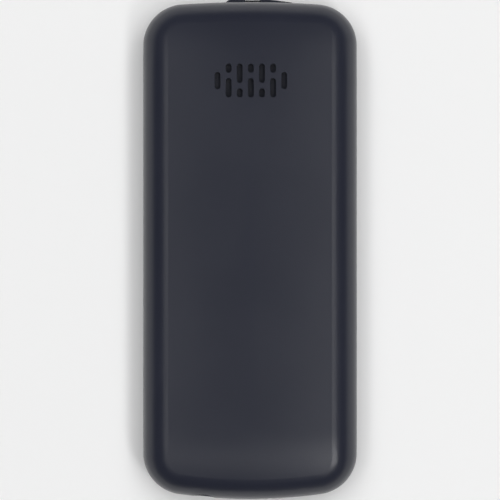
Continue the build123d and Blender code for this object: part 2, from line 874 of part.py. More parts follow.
# Rocker: the base plate with its four stems
with BuildPart() as nav_base:
    with BuildSketch(level(nav_base_height)):
        with Locations((0, nav_y)):
            RectangleRounded(
                nav_width + 2 * nav_base_margin, nav_length + 2 * nav_base_margin, nav_corner
            )
            RectangleRounded(
                select_width + 2 * nav_gap,
                select_length + 2 * nav_gap,
                select_corner + nav_gap,
                mode=Mode.SUBTRACT,
            )
    extrude(amount=nav_base_thickness)
    with BuildSketch(level(nav_base_height + nav_base_thickness)):
        with Locations(*nav_stem_spots):
            Circle(nav_stem_radius)
    extrude(amount=stem_end - nav_base_height - nav_base_thickness)
nav_base.part.label = "nav_base"
export_step(nav_base.part, "parts/nav_base.step")

# Rocker: the ring that the thumb presses
with BuildPart() as nav_ring:
    with BuildSketch(level(nav_front)):
        with Locations((0, nav_y)):
            RectangleRounded(nav_width, nav_length, nav_corner)
            RectangleRounded(
                select_width + 2 * nav_gap,
                select_length + 2 * nav_gap,
                select_corner + nav_gap,
                mode=Mode.SUBTRACT,
            )
    extrude(amount=nav_ring_depth)
    chamfer(nav_ring.faces().sort_by(Axis.Z)[0].edges(), nav_ring_round)
nav_ring.part.label = "nav_ring"
export_step(nav_ring.part, "parts/nav_ring.step")

# Select key in the middle of the rocker
with BuildPart() as select_key:
    with BuildSketch(level(select_front)):
        with Locations((0, nav_y)):
            RectangleRounded(select_width, select_length, select_corner)
    extrude(amount=flange_height + flange_thickness - select_front)
    chamfer(select_key.faces().sort_by(Axis.Z)[0].edges(), key_edge_round)
    with BuildSketch(level(flange_height + flange_thickness)):
        with Locations((0, nav_y)):
            Circle(stem_radius)
    extrude(amount=stem_end - flange_height - flange_thickness)
select_key.part.label = "select_key"
export_step(select_key.part, "parts/select_key.step")

# Keypad mat: the silicone web between the keys and the domes, on a rim that stands on the board
mat_top_y = field_top_y + mat_top_gap
with BuildPart() as keypad_mat:
    with BuildSketch(level(mat_height)) as mat_plan:
        add(plan_outline(mat_inset))
        with Locations((0, mat_top_y)):
            Rectangle(body_width, body_length, align=(Align.CENTER, Align.MIN), mode=Mode.SUBTRACT)
        with Locations((0, bottom_y)):
            Rectangle(
                body_width,
                2 * (number_bottom_y - bottom_y - flange_width - mat_edge_gap),
                mode=Mode.SUBTRACT,
            )
        with Locations(*screw_spots):
            Circle(boss_radius + boss_gap, mode=Mode.SUBTRACT)
        mat_outline = mat_plan.sketch_local
        with Locations(*stem_spots):
            Circle(stem_radius + mat_hole_gap, mode=Mode.SUBTRACT)
        with Locations(*nav_stem_spots):
            Circle(nav_stem_radius + mat_hole_gap, mode=Mode.SUBTRACT)
    extrude(amount=mat_thickness)
    with BuildSketch(level(mat_height + mat_thickness)):
        add(mat_outline)
        offset(amount=-mat_rim_width, mode=Mode.SUBTRACT)
    extrude(amount=board_front_height - mat_height - mat_thickness)
keypad_mat.part.label = "keypad_mat"
export_step(keypad_mat.part, "parts/keypad_mat.step")

# Dome sheet: the film on the board with a metal dome under each stem
film_width = 2 * (function_key_x + stem_radius + dome_film_margin)
film_bottom_y = number_bottom_y + dome_film_margin
film_top_y = field_top_y - nav_top_margin
with BuildPart() as dome_sheet:
    with BuildSketch(level(board_front_height - dome_film_thickness)):
        with Locations((0, (film_top_y + film_bottom_y) / 2)):
            Rectangle(film_width, film_top_y - film_bottom_y)
    extrude(amount=dome_film_thickness)
    with BuildSketch(level(board_front_height - dome_film_thickness)):
        with Locations(*stem_spots):
            Circle(dome_radius)
        with Locations(*nav_stem_spots):
            Circle(nav_stem_radius)
    extrude(amount=-dome_rise)
dome_sheet.part.label = "dome_sheet"
export_step(dome_sheet.part, "parts/dome_sheet.step")

# Main board: the whole plan inside the housing, notched round the bosses
with BuildPart() as main_board:
    with BuildSketch(level(board_front_height)):
        add(plan_outline(board_inset))
        with Locations(*screw_spots):
            Circle(boss_radius + boss_gap, mode=Mode.SUBTRACT)
        with Locations((torch_x, top_y)):
            Rectangle(
                torch_width + 2 * torch_flange_width + 2 * led_gap,
                2 * (top_y - led_front_y + led_gap),
                mode=Mode.SUBTRACT,
            )
    extrude(amount=board_thickness)
main_board.part.label = "main_board"
export_step(main_board.part, "parts/main_board.step")

# Shields: folded cans over the radio and the processor, with vent holes
shields = (
    ("rf_shield", rf_shield_x, speaker_y, rf_shield_width, rf_shield_length),
    (
        "processor_shield",
        processor_shield_x,
        processor_shield_y,
        processor_shield_width,
        processor_shield_length,
    ),
)
for name, x, y, width, length in shields:
    with BuildPart() as shield:
        with BuildSketch(level(board_back_height)):
            with Locations((x, y)):
                RectangleRounded(width, length, shield_corner)
        extrude(amount=shield_height)
        with BuildSketch(level(board_back_height)):
            with Locations((x, y)):
                Rectangle(width - 2 * shield_thickness, length - 2 * shield_thickness)
        extrude(amount=shield_height - shield_thickness, mode=Mode.SUBTRACT)
        with BuildSketch(level(board_back_height)):
            with Locations((x, y)):
                with GridLocations(
                    shield_hole_pitch, shield_hole_pitch, shield_hole_columns, shield_hole_rows
                ):
                    Circle(shield_hole_radius)
        extrude(amount=shield_height + overrun, mode=Mode.SUBTRACT)
    shield.part.label = name
    export_step(shield.part, f"parts/{name}.step")

# Card holders: low cans in the bay floor, open at the lower side, with a window in the top
holders = (
    ("sim_holder_left", -sim_spacing / 2, sim_y, sim_width, sim_length),
    ("sim_holder_right", sim_spacing / 2, sim_y, sim_width, sim_length),
    ("memory_card_holder", 0, card_y, card_width, card_length),
)
for name, x, y, width, length in holders:
    with BuildPart() as holder:
        with BuildSketch(level(board_back_height)):
            with Locations((x, y)):
                Rectangle(width, length)
        extrude(amount=sim_height)
        with BuildSketch(across(y + length / 2 - sim_wall)):
            with Locations((x, board_back_height + sim_height - sim_wall)):
                Rectangle(
                    width - 2 * sim_wall,
                    sim_height - 2 * sim_wall,
                    align=(Align.CENTER, Align.MAX),
                )
        extrude(amount=length, mode=Mode.SUBTRACT)
        with BuildSketch(level(board_back_height + sim_height - sim_wall)):
            with Locations((x, y - length / 2)):
                Rectangle(
                    sim_window_width, sim_window_length, align=(Align.CENTER, Align.MIN)
                )
        extrude(amount=sim_wall, mode=Mode.SUBTRACT)
    holder.part.label = name
    export_step(holder.part, f"parts/{name}.step")

# Battery connector: a block on the board whose springs reach into the bay
contact_mid_height = battery_height + battery_thickness / 4
with BuildPart() as battery_connector:
    with BuildSketch(level(board_back_height)):
        with Locations((0, connector_y)):
            Rectangle(connector_width, connector_depth)
    extrude(amount=connector_height)
    with BuildSketch(across(connector_y)):
        with Locations((0, contact_mid_height - contact_height)):
            with GridLocations(contact_pitch, contact_height, 3, 1):
                Rectangle(contact_width, contact_height)
    extrude(amount=connector_depth / 2 + contact_reach + battery_gap - contact_pad_depth)
battery_connector.part.label = "battery_connector"
export_step(battery_connector.part, "parts/battery_connector.step")

# Battery: a flat pack with rounded long edges and three sunk contact pads
with BuildPart() as battery:
    with BuildSketch(level(battery_height)):
        with Locations((0, bay_y)):
            Rectangle(battery_width, battery_length)
    extrude(amount=battery_thickness)
    fillet(battery.edges().filter_by(Axis.Y), battery_round)
    with BuildSketch(across(bay_y + battery_length / 2)):
        with Locations((0, contact_mid_height - contact_height)):
            with GridLocations(contact_pitch, contact_height, 3, 1):
                Rectangle(contact_pad_length, contact_pad_length / 2)
    extrude(amount=contact_pad_depth, mode=Mode.SUBTRACT)
battery.part.label = "battery"
export_step(battery.part, "parts/battery.step")

# Audio socket: a block with a blind bore and a collar that fills its hole in the bottom end
with BuildPart() as audio_socket:
    with BuildSketch(level(board_back_height)):
        with Locations((audio_x, audio_block_y + audio_block_length / 2)):
            Rectangle(audio_block_width, audio_block_length)
    extrude(amount=audio_block_height)
    with BuildSketch(across(audio_block_y)):
        with Locations((audio_x, audio_height)):
            Circle(audio_collar_radius)
    extrude(amount=audio_collar_length)
    with BuildSketch(across(audio_mouth_y)):
        with Locations((audio_x, audio_height)):
            Circle(audio_bore_radius)
    extrude(amount=-audio_bore_length, mode=Mode.SUBTRACT)
audio_socket.part.label = "audio_socket"
export_step(audio_socket.part, "parts/audio_socket.step")

# USB socket: a thin folded shell with its tongue
with BuildPart() as usb_socket:
    with BuildSketch(across(usb_mouth_y + usb_length)):
        with Locations((usb_x, usb_mid_height)):
            RectangleRounded(usb_width, usb_height, usb_corner)
    extrude(amount=usb_length)
    with BuildSketch(across(usb_mouth_y + usb_length - usb_wall)):
        with Locations((usb_x, usb_mid_height)):
            RectangleRounded(
                usb_width - 2 * usb_wall, usb_height - 2 * usb_wall, usb_corner - usb_wall
            )
    extrude(amount=usb_length, mode=Mode.SUBTRACT)
    with BuildSketch(across(usb_mouth_y + usb_length - usb_wall)):
        with Locations((usb_x, usb_mid_height)):
            Rectangle(usb_tongue_width, usb_tongue_height)
    extrude(amount=usb_tongue_length)
usb_socket.part.label = "usb_socket"
export_step(usb_socket.part, "parts/usb_socket.step")

# Earpiece behind the slots over the display, and the mesh between them
with BuildPart() as earpiece_mesh:
    with BuildSketch(level(housing_wall)):
        with Locations((0, earpiece_y)):
            Rectangle(earpiece_width, earpiece_length / 2)
    extrude(amount=mesh_thickness)
earpiece_mesh.part.label = "earpiece_mesh"
export_step(earpiece_mesh.part, "parts/earpiece_mesh.step")

with BuildPart() as earpiece:
    with BuildSketch(level(housing_wall + mesh_thickness)):
        with Locations((0, earpiece_y)):
            SlotOverall(earpiece_width, earpiece_length)
    extrude(amount=earpiece_thickness)
earpiece.part.label = "earpiece"
export_step(earpiece.part, "parts/earpiece.step")

# Microphone on the board, and the rubber boot that joins it to its hole
with BuildPart() as microphone:
    with BuildSketch(level(board_front_height - microphone_thickness)):
        with Locations((microphone_x, microphone_y)):
            Rectangle(microphone_width, microphone_length)
    extrude(amount=microphone_thickness)
microphone.part.label = "microphone"
export_step(microphone.part, "parts/microphone.step")

with BuildPart() as microphone_boot:
    with BuildSketch(level(housing_wall)):
        with Locations((microphone_x, microphone_y)):
            Rectangle(microphone_width - 2 * boot_wall, microphone_length - boot_wall)
            Circle(microphone_hole_radius, mode=Mode.SUBTRACT)
    extrude(amount=board_front_height - microphone_thickness - housing_wall)
microphone_boot.part.label = "microphone_boot"
export_step(microphone_boot.part, "parts/microphone_boot.step")

# Torch lens: a clear light guide with a round-ended face and a flange behind the wall
with BuildPart() as torch_lens:
    with BuildSketch(across(lens_front_y)):
        with Locations((torch_x, torch_height)):
            SlotOverall(torch_width, torch_lens_height)
    extrude(amount=lens_front_y - lens_back_y)
    fillet(torch_lens.faces().sort_by(Axis.Y)[-1].edges(), torch_lens_round)
    with BuildSketch(across(flange_front_y)):
        with Locations((torch_x, torch_height)):
            Rectangle(torch_width + 2 * torch_flange_width, torch_lens_height)
    extrude(amount=torch_flange_length)
torch_lens.part.label = "torch_lens"
export_step(torch_lens.part, "parts/torch_lens.step")

# Torch lamp on the board's back, behind the lens
with BuildPart() as torch_led:
    with BuildSketch(level(board_back_height)):
        with Locations((torch_x, led_front_y - led_gap - led_dome_length)):
            Rectangle(led_width, led_length, align=(Align.CENTER, Align.MAX))
    extrude(amount=led_height)
    with BuildSketch(across(led_front_y - led_gap)):
        with Locations((torch_x, board_back_height + led_height / 2)):
            Rectangle(2 * led_dome_radius, led_dome_radius)
    extrude(amount=led_dome_length)
torch_led.part.label = "torch_led"
export_step(torch_led.part, "parts/torch_led.step")

# Loudspeaker: a basket with a sunk cone and its dust cap
with BuildPart() as loudspeaker:
    with BuildSketch(level(speaker_floor_height)):
        with Locations((grille_offset, speaker_y)):
            Circle(speaker_radius)
    extrude(amount=speaker_thickness)
    with BuildSketch(level(speaker_floor_height + speaker_thickness)):
        with Locations((grille_offset, speaker_y)):
            Circle(speaker_radius - speaker_rim)
    extrude(amount=-speaker_cone_depth, taper=speaker_cone_taper, mode=Mode.SUBTRACT)
    with BuildSketch(level(speaker_floor_height + speaker_thickness - speaker_cone_depth)):
        with Locations((grille_offset, speaker_y)):
            Circle(speaker_cap_radius)
    extrude(amount=speaker_cone_depth / 2, taper=speaker_cone_taper)
loudspeaker.part.label = "loudspeaker"
export_step(loudspeaker.part, "parts/loudspeaker.step")

# Foam ring between the loudspeaker and the cover
with BuildPart() as loudspeaker_gasket:
    with BuildSketch(level(speaker_floor_height + speaker_thickness)):
        with Locations((grille_offset, speaker_y)):
            Circle(speaker_radius)
            Circle(speaker_radius - gasket_width, mode=Mode.SUBTRACT)
    extrude(amount=gasket_thickness)
loudspeaker_gasket.part.label = "loudspeaker_gasket"
export_step(loudspeaker_gasket.part, "parts/loudspeaker_gasket.step")

# Vibration motor: a can in its cradle, with the shaft that carries the weight
motor_top_y = motor_y + motor_length / 2
with BuildPart() as vibration_motor:
    with BuildSketch(across(motor_top_y)):
        with Locations((motor_x, motor_height)):
            Circle(motor_radius)
    extrude(amount=motor_length)
    with BuildSketch(level(board_back_height)):
        with Locations((motor_x, motor_y)):
            Rectangle(motor_cradle_width, motor_length)
    extrude(amount=motor_lift + motor_radius)
    with BuildSketch(across(motor_top_y + weight_gap + weight_length)):
        with Locations((motor_x, motor_height)):
            Circle(motor_shaft_radius)
    extrude(amount=weight_gap + weight_length)
vibration_motor.part.label = "vibration_motor"
export_step(vibration_motor.part, "parts/vibration_motor.step")

# Eccentric weight: half a disc round a hub on the shaft
with BuildPart() as motor_weight:
    with BuildSketch(across(motor_top_y + weight_gap + weight_length)):
        with Locations((motor_x, motor_height)):
            Circle(weight_radius)
            Rectangle(
                2 * weight_radius,
                weight_radius,
                align=(Align.CENTER, Align.MAX),
                mode=Mode.SUBTRACT,
            )
            Circle(weight_hub_radius)
            Circle(motor_shaft_radius + weight_bore_gap, mode=Mode.SUBTRACT)
    extrude(amount=weight_length)
motor_weight.part.label = "motor_weight"
export_step(motor_weight.part, "parts/motor_weight.step")

# Antenna: a slotted plate on its shelf, with two legs down to the board
with BuildPart() as antenna:
    with BuildSketch(level(antenna_height)):
        with Locations((0, antenna_y)):
            Rectangle(antenna_width, antenna_length)
        with Locations((-antenna_width / 4, antenna_y)):
            SlotOverall(antenna_slot_length, antenna_slot_width, mode=Mode.SUBTRACT)
    extrude(amount=antenna_thickness)
    with BuildSketch(level(board_back_height)):
        with Locations(*antenna_leg_spots):
            Rectangle(antenna_leg_width, antenna_thickness)
    extrude(amount=antenna_height - board_back_height)
antenna.part.label = "antenna"
export_step(antenna.part, "parts/antenna.step")

# Housing screws: six alike, with crossed slots
with BuildPart() as housing_screws:
    with BuildSketch(level(screw_seat_height)):
        with Locations(*screw_spots):
            Circle(screw_head_radius)
    extrude(amount=screw_head_height)
    with BuildSketch(level(screw_seat_height)):
        with Locations(*screw_spots):
            Circle(screw_radius)
    extrude(amount=-screw_length)
    with BuildSketch(level(screw_seat_height + screw_head_height - screw_slot_depth)):
        with Locations(*screw_spots):
            Rectangle(2 * screw_radius, screw_slot_width)
            Rectangle(screw_slot_width, 2 * screw_radius)
    extrude(amount=screw_slot_depth, mode=Mode.SUBTRACT)
housing_screws.part.label = "housing_screws"
export_step(housing_screws.part, "parts/housing_screws.step")
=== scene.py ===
# A bar-shaped feature phone, lying on the rim of its front on a pale studio floor.
# Lengths are in metres: +Z is out of the back, +Y is the loudspeaker end, and +X is the right
# of the back.
import math
from types import SimpleNamespace

import bmesh
import bpy
from mathutils import Matrix, Vector


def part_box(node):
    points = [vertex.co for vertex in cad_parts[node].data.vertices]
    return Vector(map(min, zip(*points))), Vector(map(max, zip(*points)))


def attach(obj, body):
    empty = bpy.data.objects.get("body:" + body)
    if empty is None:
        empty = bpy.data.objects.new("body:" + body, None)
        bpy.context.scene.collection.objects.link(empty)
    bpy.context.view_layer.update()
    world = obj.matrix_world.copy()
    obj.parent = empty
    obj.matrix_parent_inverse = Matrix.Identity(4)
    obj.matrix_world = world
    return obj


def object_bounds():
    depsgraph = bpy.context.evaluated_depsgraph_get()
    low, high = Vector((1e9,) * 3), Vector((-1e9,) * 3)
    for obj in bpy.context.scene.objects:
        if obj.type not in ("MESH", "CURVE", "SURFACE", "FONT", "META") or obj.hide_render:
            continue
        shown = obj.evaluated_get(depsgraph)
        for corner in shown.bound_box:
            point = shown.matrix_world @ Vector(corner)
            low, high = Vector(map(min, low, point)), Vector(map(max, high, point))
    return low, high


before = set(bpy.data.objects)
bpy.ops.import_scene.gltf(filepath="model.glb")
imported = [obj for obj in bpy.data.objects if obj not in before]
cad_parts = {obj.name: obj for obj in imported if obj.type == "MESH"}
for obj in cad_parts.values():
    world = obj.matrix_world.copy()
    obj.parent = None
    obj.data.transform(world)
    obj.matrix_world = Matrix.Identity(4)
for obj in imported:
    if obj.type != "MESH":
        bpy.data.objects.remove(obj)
cad_low, cad_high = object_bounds()

# Front housing: the slate black ABS shell of the front and the lower sides, injection moulded.
# Its tool was spark eroded, so every outer face has a fine, even grain.
mm = 0.001


def feed(tree, sockets, values):
    """Feeds a node's sockets, each by a plain value or by another node's output."""
    for name, value in dict(values).items():
        if isinstance(value, bpy.types.NodeSocket):
            tree.links.new(value, sockets[name])
        else:
            sockets[name].default_value = value


def add_node(tree, kind, inputs=(), **settings):
    """Adds a shader node with its settings, and feeds its inputs."""
    made = tree.nodes.new("ShaderNode" + kind)
    for name, value in settings.items():
        setattr(made, name, value)
    feed(tree, made.inputs, inputs)
    return made


def work(tree, operation, *values, **settings):
    """A Math node's result for one, two or three values."""
    made = add_node(tree, "Math", enumerate(values), operation=operation, **settings)
    return made.outputs["Value"]


def spread(tree, value, low, high, to_low=0.0, to_high=1.0, **settings):
    """A value moved from one range to another and held there."""
    ends = {"From Min": low, "From Max": high, "To Min": to_low, "To Max": to_high}
    return add_node(tree, "MapRange", {"Value": value, **ends}, **settings).outputs["Result"]


def between(tree, factor, first, second):
    """A value that goes from one to another as the factor goes from 0 to 1."""
    return spread(tree, factor, 0.0, 1.0, first, second)


def blended(tree, factor, first, second):
    """A colour that goes from one to another as the factor goes from 0 to 1."""
    mix = add_node(tree, "Mix", {"Factor": factor}, data_type="RGBA")
    for at, colour in ((6, first), (7, second)):  # the colour sockets of a Mix node
        plain = isinstance(colour, tuple)
        feed(tree, mix.inputs, {at: (*colour, 1.0) if plain else colour})
    return mix.outputs[2]


def scaled(tree, vector, factor):
    """A colour made lighter or darker, or a place spread out, by a factor."""
    given = {0: vector, "Scale": factor}
    return add_node(tree, "VectorMath", given, operation="SCALE").outputs["Vector"]


def cells(tree, density):
    """The place on a piece, counted in cells of a pattern that has so many in a metre."""
    return scaled(tree, add_node(tree, "TexCoord").outputs["Object"], density)


def clouds(tree, density, detail=2.0, distortion=0.0):
    """Soft random clouds, so many in a metre, as a value round one half."""
    where = {"Vector": cells(tree, density), "Scale": 1.0}
    noise = add_node(tree, "TexNoise", {**where, "Detail": detail, "Distortion": distortion})
    return noise.outputs["Fac"]


def stripes(tree, pitch, direction, distortion=0.0):
    """Even stripes across a direction, as a wave from 0 to 1."""
    one_in_a_cell = math.pi / 10  # the scale at which the texture's own wave is one cell long
    given = {"Vector": cells(tree, 1 / pitch), "Scale": one_in_a_cell, "Distortion": distortion}
    return add_node(tree, "TexWave", given, bands_direction=direction).outputs["Fac"]


def rounded_edge(tree, radius):
    """The normal of a face whose edges look rounded to a radius."""
    return add_node(tree, "Bevel", {"Radius": radius}, samples=4).outputs["Normal"]


def relief(tree, height, depth, **base):
    """The normal of a raised pattern. Its base is the face, or a Normal that is given."""
    return add_node(tree, "Bump", {"Height": height, "Distance": depth, **base}).outputs["Normal"]


def shader_group(name, inputs, outputs):
    """An empty shader group: (its tree, the sockets it is given, the sockets it puts out)."""
    tree = bpy.data.node_groups.new(name, "ShaderNodeTree")
    kinds = {float: "NodeSocketFloat", tuple: "NodeSocketColor", Vector: "NodeSocketVector"}
    for socket, value in inputs.items():
        made = tree.interface.new_socket(socket, in_out="INPUT", socket_type=kinds[type(value)])
        made.default_value = value
    for socket, kind in outputs.items():
        tree.interface.new_socket(socket, in_out="OUTPUT", socket_type=kinds[kind])
    given, out = tree.nodes.new("NodeGroupInput"), tree.nodes.new("NodeGroupOutput")
    return tree, given.outputs, out.inputs


def moulded_surface_group():
    """Moulded plastic or rubber: the tool's grain, rounded and rubbed edges, and slow drifts."""
    tree, given, out = shader_group(
        "moulded_surface",
        {
            "Colour": (0.5, 0.5, 0.5, 1.0),
            "Roughness": 0.5,
            "Drift": 0.06,
            "Grain Density": 3600.0,
            "Grain Depth": 0.008 * mm,
            "Edge Round": 0.12 * mm,
            "Rub": 0.4,
        },
        {"Colour": tuple, "Roughness": float, "Normal": Vector},
    )
    rub_density, rub_bare, rub_full = 420.0, 0.35, 0.65
    turn_flat, turn_sharp = 0.99, 0.8
    rub_polish = -0.3
    drift_density = 55.0
    grain = {"Vector": cells(tree, given["Grain Density"]), "Scale": 1.0}
    pits = add_node(tree, "TexVoronoi", grain, feature="SMOOTH_F1").outputs["Distance"]
    height = work(tree, "ADD", clouds(tree, given["Grain Density"]), pits)
    edge = rounded_edge(tree, given["Edge Round"])
    face = add_node(tree, "NewGeometry").outputs["Normal"]
    turn = add_node(tree, "VectorMath", {0: edge, 1: face}, operation="DOT_PRODUCT")
    on_edge = spread(tree, turn.outputs["Value"], turn_flat, turn_sharp)
    patches = spread(tree, clouds(tree, rub_density, detail=3.0), rub_bare, rub_full)
    rubbed = work(tree, "MULTIPLY", work(tree, "MULTIPLY", on_edge, patches), given["Rub"])
    drift = between(tree, clouds(tree, drift_density, detail=4.0), -1.0, 1.0)
    swing = work(tree, "MULTIPLY", drift, given["Drift"])
    tone = work(tree, "ADD", work(tree, "ADD", swing, 1.0), rubbed)
    gloss = work(tree, "MULTIPLY_ADD", rubbed, rub_polish, swing)
    feed(tree, out, {
        "Colour": scaled(tree, given["Colour"], tone),
        "Roughness": work(tree, "ADD", given["Roughness"], gloss, use_clamp=True),
        "Normal": relief(tree, height, given["Grain Depth"], Normal=edge),
    })
    return tree


moulded_surface = moulded_surface_group()


def blank_material(name):
    """A new material: (material, its tree, its Principled BSDF)."""
    made = bpy.data.materials.new(name)
    made.use_nodes = True
    tree = made.node_tree
    return made, tree, tree.nodes["Principled BSDF"]


def surfaced(name, group, colour, roughness, surface, own):
    """A material with the surface of a group, and plain values on the shader's own sockets."""
    made, tree, shader = blank_material(name)
    given = {"Colour": (*colour, 1.0), "Roughness": roughness, **dict(surface)}
    drawn = add_node(tree, "Group", given, node_tree=group).outputs
    feed(tree, shader.inputs, {
        "Base Color": drawn["Colour"],
        "Roughness": drawn["Roughness"],
        "Normal": drawn["Normal"],
        **dict(own),
    })
    return made


def moulded(name, colour, roughness, surface=(), own=()):
    """A moulded, sprayed or printed material with that surface's grain and wear."""
    return surfaced(name, moulded_surface, colour, roughness, surface, own)


def dress(material, *nodes):
    """Gives CAD nodes one material."""
    for name in nodes:
        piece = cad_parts[name]
        piece.data.materials.clear()
        piece.data.materials.append(material)


slate_colour = (0.0163, 0.0184, 0.0308)
slate_roughness = 0.31
housing_plastic = moulded("housing_plastic", slate_colour, slate_roughness)
dress(housing_plastic, "front_housing")

# Display window: a clear acrylic pane, taped into the front. The black border is ink, printed on
# its inner face, and thumbs have left their smudges on the outer one.


def box_of(node):
    """A CAD node's box: its low and high corners, its middle and its size."""
    low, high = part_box(node)
    return SimpleNamespace(low=low, high=high, middle=(low + high) / 2, size=high - low)


def smudges_group():
    """Finger smudges: broad smears, broken up by the fine lines of the skin."""
    smear_bare, smear_full = 0.52, 0.72
    skin_pitch = 1.2 * mm
    skin_share = 0.3
    tree, given, out = shader_group("smudges", {"Density": 110.0}, {"Mask": float})
    smears = clouds(tree, given["Density"], detail=3.0, distortion=0.8)
    skin = stripes(tree, skin_pitch, "X", distortion=9.0)
    broken = work(tree, "MULTIPLY_ADD", skin, skin_share, 1 - skin_share)
    mask = work(tree, "MULTIPLY", spread(tree, smears, smear_bare, smear_full), broken)
    feed(tree, out, {"Mask": mask})
    return tree


smudges = smudges_group()


def smudged(tree, density):
    """The mask of the finger smudges on a piece, so many in a metre."""
    return add_node(tree, "Group", {"Density": density}, node_tree=smudges).outputs["Mask"]


def place(name, mesh, body, material, round_angle=30):
    """Makes a piece of a finished bmesh. It rides on a body.

    Edges that turn by more than the angle, in degrees, stay sharp.
    """
    data = bpy.data.meshes.new(name)
    mesh.to_mesh(data)
    mesh.free()
    data.materials.append(material)
    data.shade_smooth()
    data.set_sharp_from_angle(angle=math.radians(round_angle))
    made = bpy.data.objects.new(name, data)
    bpy.context.scene.collection.objects.link(made)
    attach(made, body)


def thicken(mesh, faces, lift):
    """Turns flat faces into a closed plate as thick as the lift."""
    raised = bmesh.ops.extrude_face_region(mesh, geom=faces, use_keep_orig=True)["geom"]
    corners = [part for part in raised if isinstance(part, bmesh.types.BMVert)]
    bmesh.ops.translate(mesh, vec=(0, 0, lift), verts=corners)
    bmesh.ops.recalc_face_normals(mesh, faces=mesh.faces)


def add_outline(mesh, centre, width, length, corner, height):
    """Adds one flat face with round corners to a mesh."""
    others = set(mesh.faces)
    quad = bmesh.ops.create_grid(mesh, x_segments=1, y_segments=1, size=0.5)["verts"]
    bmesh.ops.scale(mesh, vec=(width, length, 1), verts=quad)
    bmesh.ops.translate(mesh, vec=(*centre, height), verts=quad)
    bmesh.ops.bevel(
        mesh, geom=quad, offset=corner, segments=6, affect="VERTICES", profile=0.5, material=-1
    )
    return next(face for face in mesh.faces if face not in others)


def add_plate(mesh, centre, width, length, corner, bottom, top, hole=None):
    """Adds a flat plate with round corners to a mesh, round a hole where one is given."""
    faces = [add_outline(mesh, centre, width, length, corner, bottom)]
    if hole:
        faces.append(add_outline(mesh, centre, *hole, bottom))
        edges = [edge for face in faces for edge in face.edges]
        bmesh.ops.delete(mesh, geom=faces, context="FACES_ONLY")
        faces = bmesh.ops.bridge_loops(mesh, edges=edges)["faces"]
    thicken(mesh, faces, top - bottom)


def plate(centre, width, length, corner, bottom, top, hole=None):
    """A mesh that holds one flat plate with round corners."""
    mesh = bmesh.new()
    add_plate(mesh, centre, width, length, corner, bottom, top, hole)
    return mesh


acrylic_ior = 1.49
window_smears = 110.0
window_tints = ((0.97, 0.98, 1.0), (0.9, 0.91, 0.92))
window_roughness = (0.02, 0.16)
window_acrylic, tree, shader = blank_material("window_acrylic")
greasy = smudged(tree, window_smears)
feed(tree, shader.inputs, {
    "Base Color": blended(tree, greasy, *window_tints),
    "Roughness": between(tree, greasy, *window_roughness),
    "Transmission Weight": 1.0,
    "IOR": acrylic_ior,
})
dress(window_acrylic, "display_window")

border_side = 4.8 * mm
border_end = 3.8 * mm
border_corner = 0.8 * mm
ink_depth = 0.02 * mm
ink_gap = 0.005 * mm
print_edge = 0.3 * mm
print_corner = 2.6 * mm
window_box = box_of("display_window")
border_ink = moulded(
    "border_ink", colour=(0.006, 0.006, 0.007), roughness=0.2,
    surface={"Grain Depth": 0.001 * mm, "Edge Round": 0.01 * mm}, own={"Specular IOR Level": 0.05},
)
border = plate(
    window_box.middle.xy, window_box.size.x - 2 * print_edge, window_box.size.y - 2 * print_edge,
    print_corner, window_box.high.z + ink_gap, window_box.high.z + ink_gap + ink_depth,
    hole=(
        window_box.size.x - 2 * border_side, window_box.size.y - 2 * border_end, border_corner
    ),
)
place("window_border", border, "body", border_ink)

# Display: a colour panel in a folded steel frame, held off the window by a black foam ring.
# It is off, so its polariser shows as dark blue grey, and an amber film tail joins it to the board.


def rolled_metal_group():
    """Rolled or plated sheet: fine lines along the rolling, slow tarnish and rounded edges."""
    tree, given, out = shader_group(
        "rolled_metal",
        {
            "Colour": (0.6, 0.6, 0.58, 1.0),
            "Roughness": 0.3,
            "Tarnish": 0.3,
            "Line Depth": 0.002 * mm,
            "Edge Round": 0.06 * mm,
        },
        {"Colour": tuple, "Roughness": float, "Normal": Vector},
    )
    lines_across, lines_along, line_roughness = 9000.0, 500.0, 0.12
    patch_density, patch_bare, patch_full = 320.0, 0.4, 0.7
    tarnish_shade, tarnish_roughness = -0.5, 0.25
    where = add_node(tree, "TexCoord").outputs["Object"]
    density = (lines_across, lines_along, lines_across)
    drawn_out = add_node(tree, "Mapping", {"Vector": where, "Scale": density}).outputs["Vector"]
    noise = add_node(tree, "TexNoise", {"Vector": drawn_out, "Scale": 1.0, "Detail": 2.0})
    lines = noise.outputs["Fac"]
    patches = spread(tree, clouds(tree, patch_density, detail=5.0), patch_bare, patch_full)
    dull = work(tree, "MULTIPLY", patches, given["Tarnish"])
    tone = work(tree, "MULTIPLY_ADD", dull, tarnish_shade, 1.0)
    rough = work(tree, "MULTIPLY_ADD", lines, line_roughness, given["Roughness"])
    edge = rounded_edge(tree, given["Edge Round"])
    feed(tree, out, {
        "Colour": scaled(tree, given["Colour"], tone),
        "Roughness": work(tree, "MULTIPLY_ADD", dull, tarnish_roughness, rough),
        "Normal": relief(tree, lines, given["Line Depth"], Normal=edge),
    })
    return tree


rolled_metal = rolled_metal_group()


def metal(name, colour, roughness, surface=()):
    """A bare or plated metal with the lines and tarnish of rolled sheet."""
    return surfaced(name, rolled_metal, colour, roughness, surface, {"Metallic": 1.0})


tin_plate = metal("tin_plate", colour=(0.62, 0.61, 0.58), roughness=0.3)
dress(tin_plate, "lcd_module")
foam = moulded(
    "foam", colour=(0.018, 0.018, 0.018), roughness=0.9,
    surface={"Grain Density": 6000.0, "Grain Depth": 0.05 * mm, "Rub": 0.0},
)
dress(foam, "display_gasket", "loudspeaker_gasket")

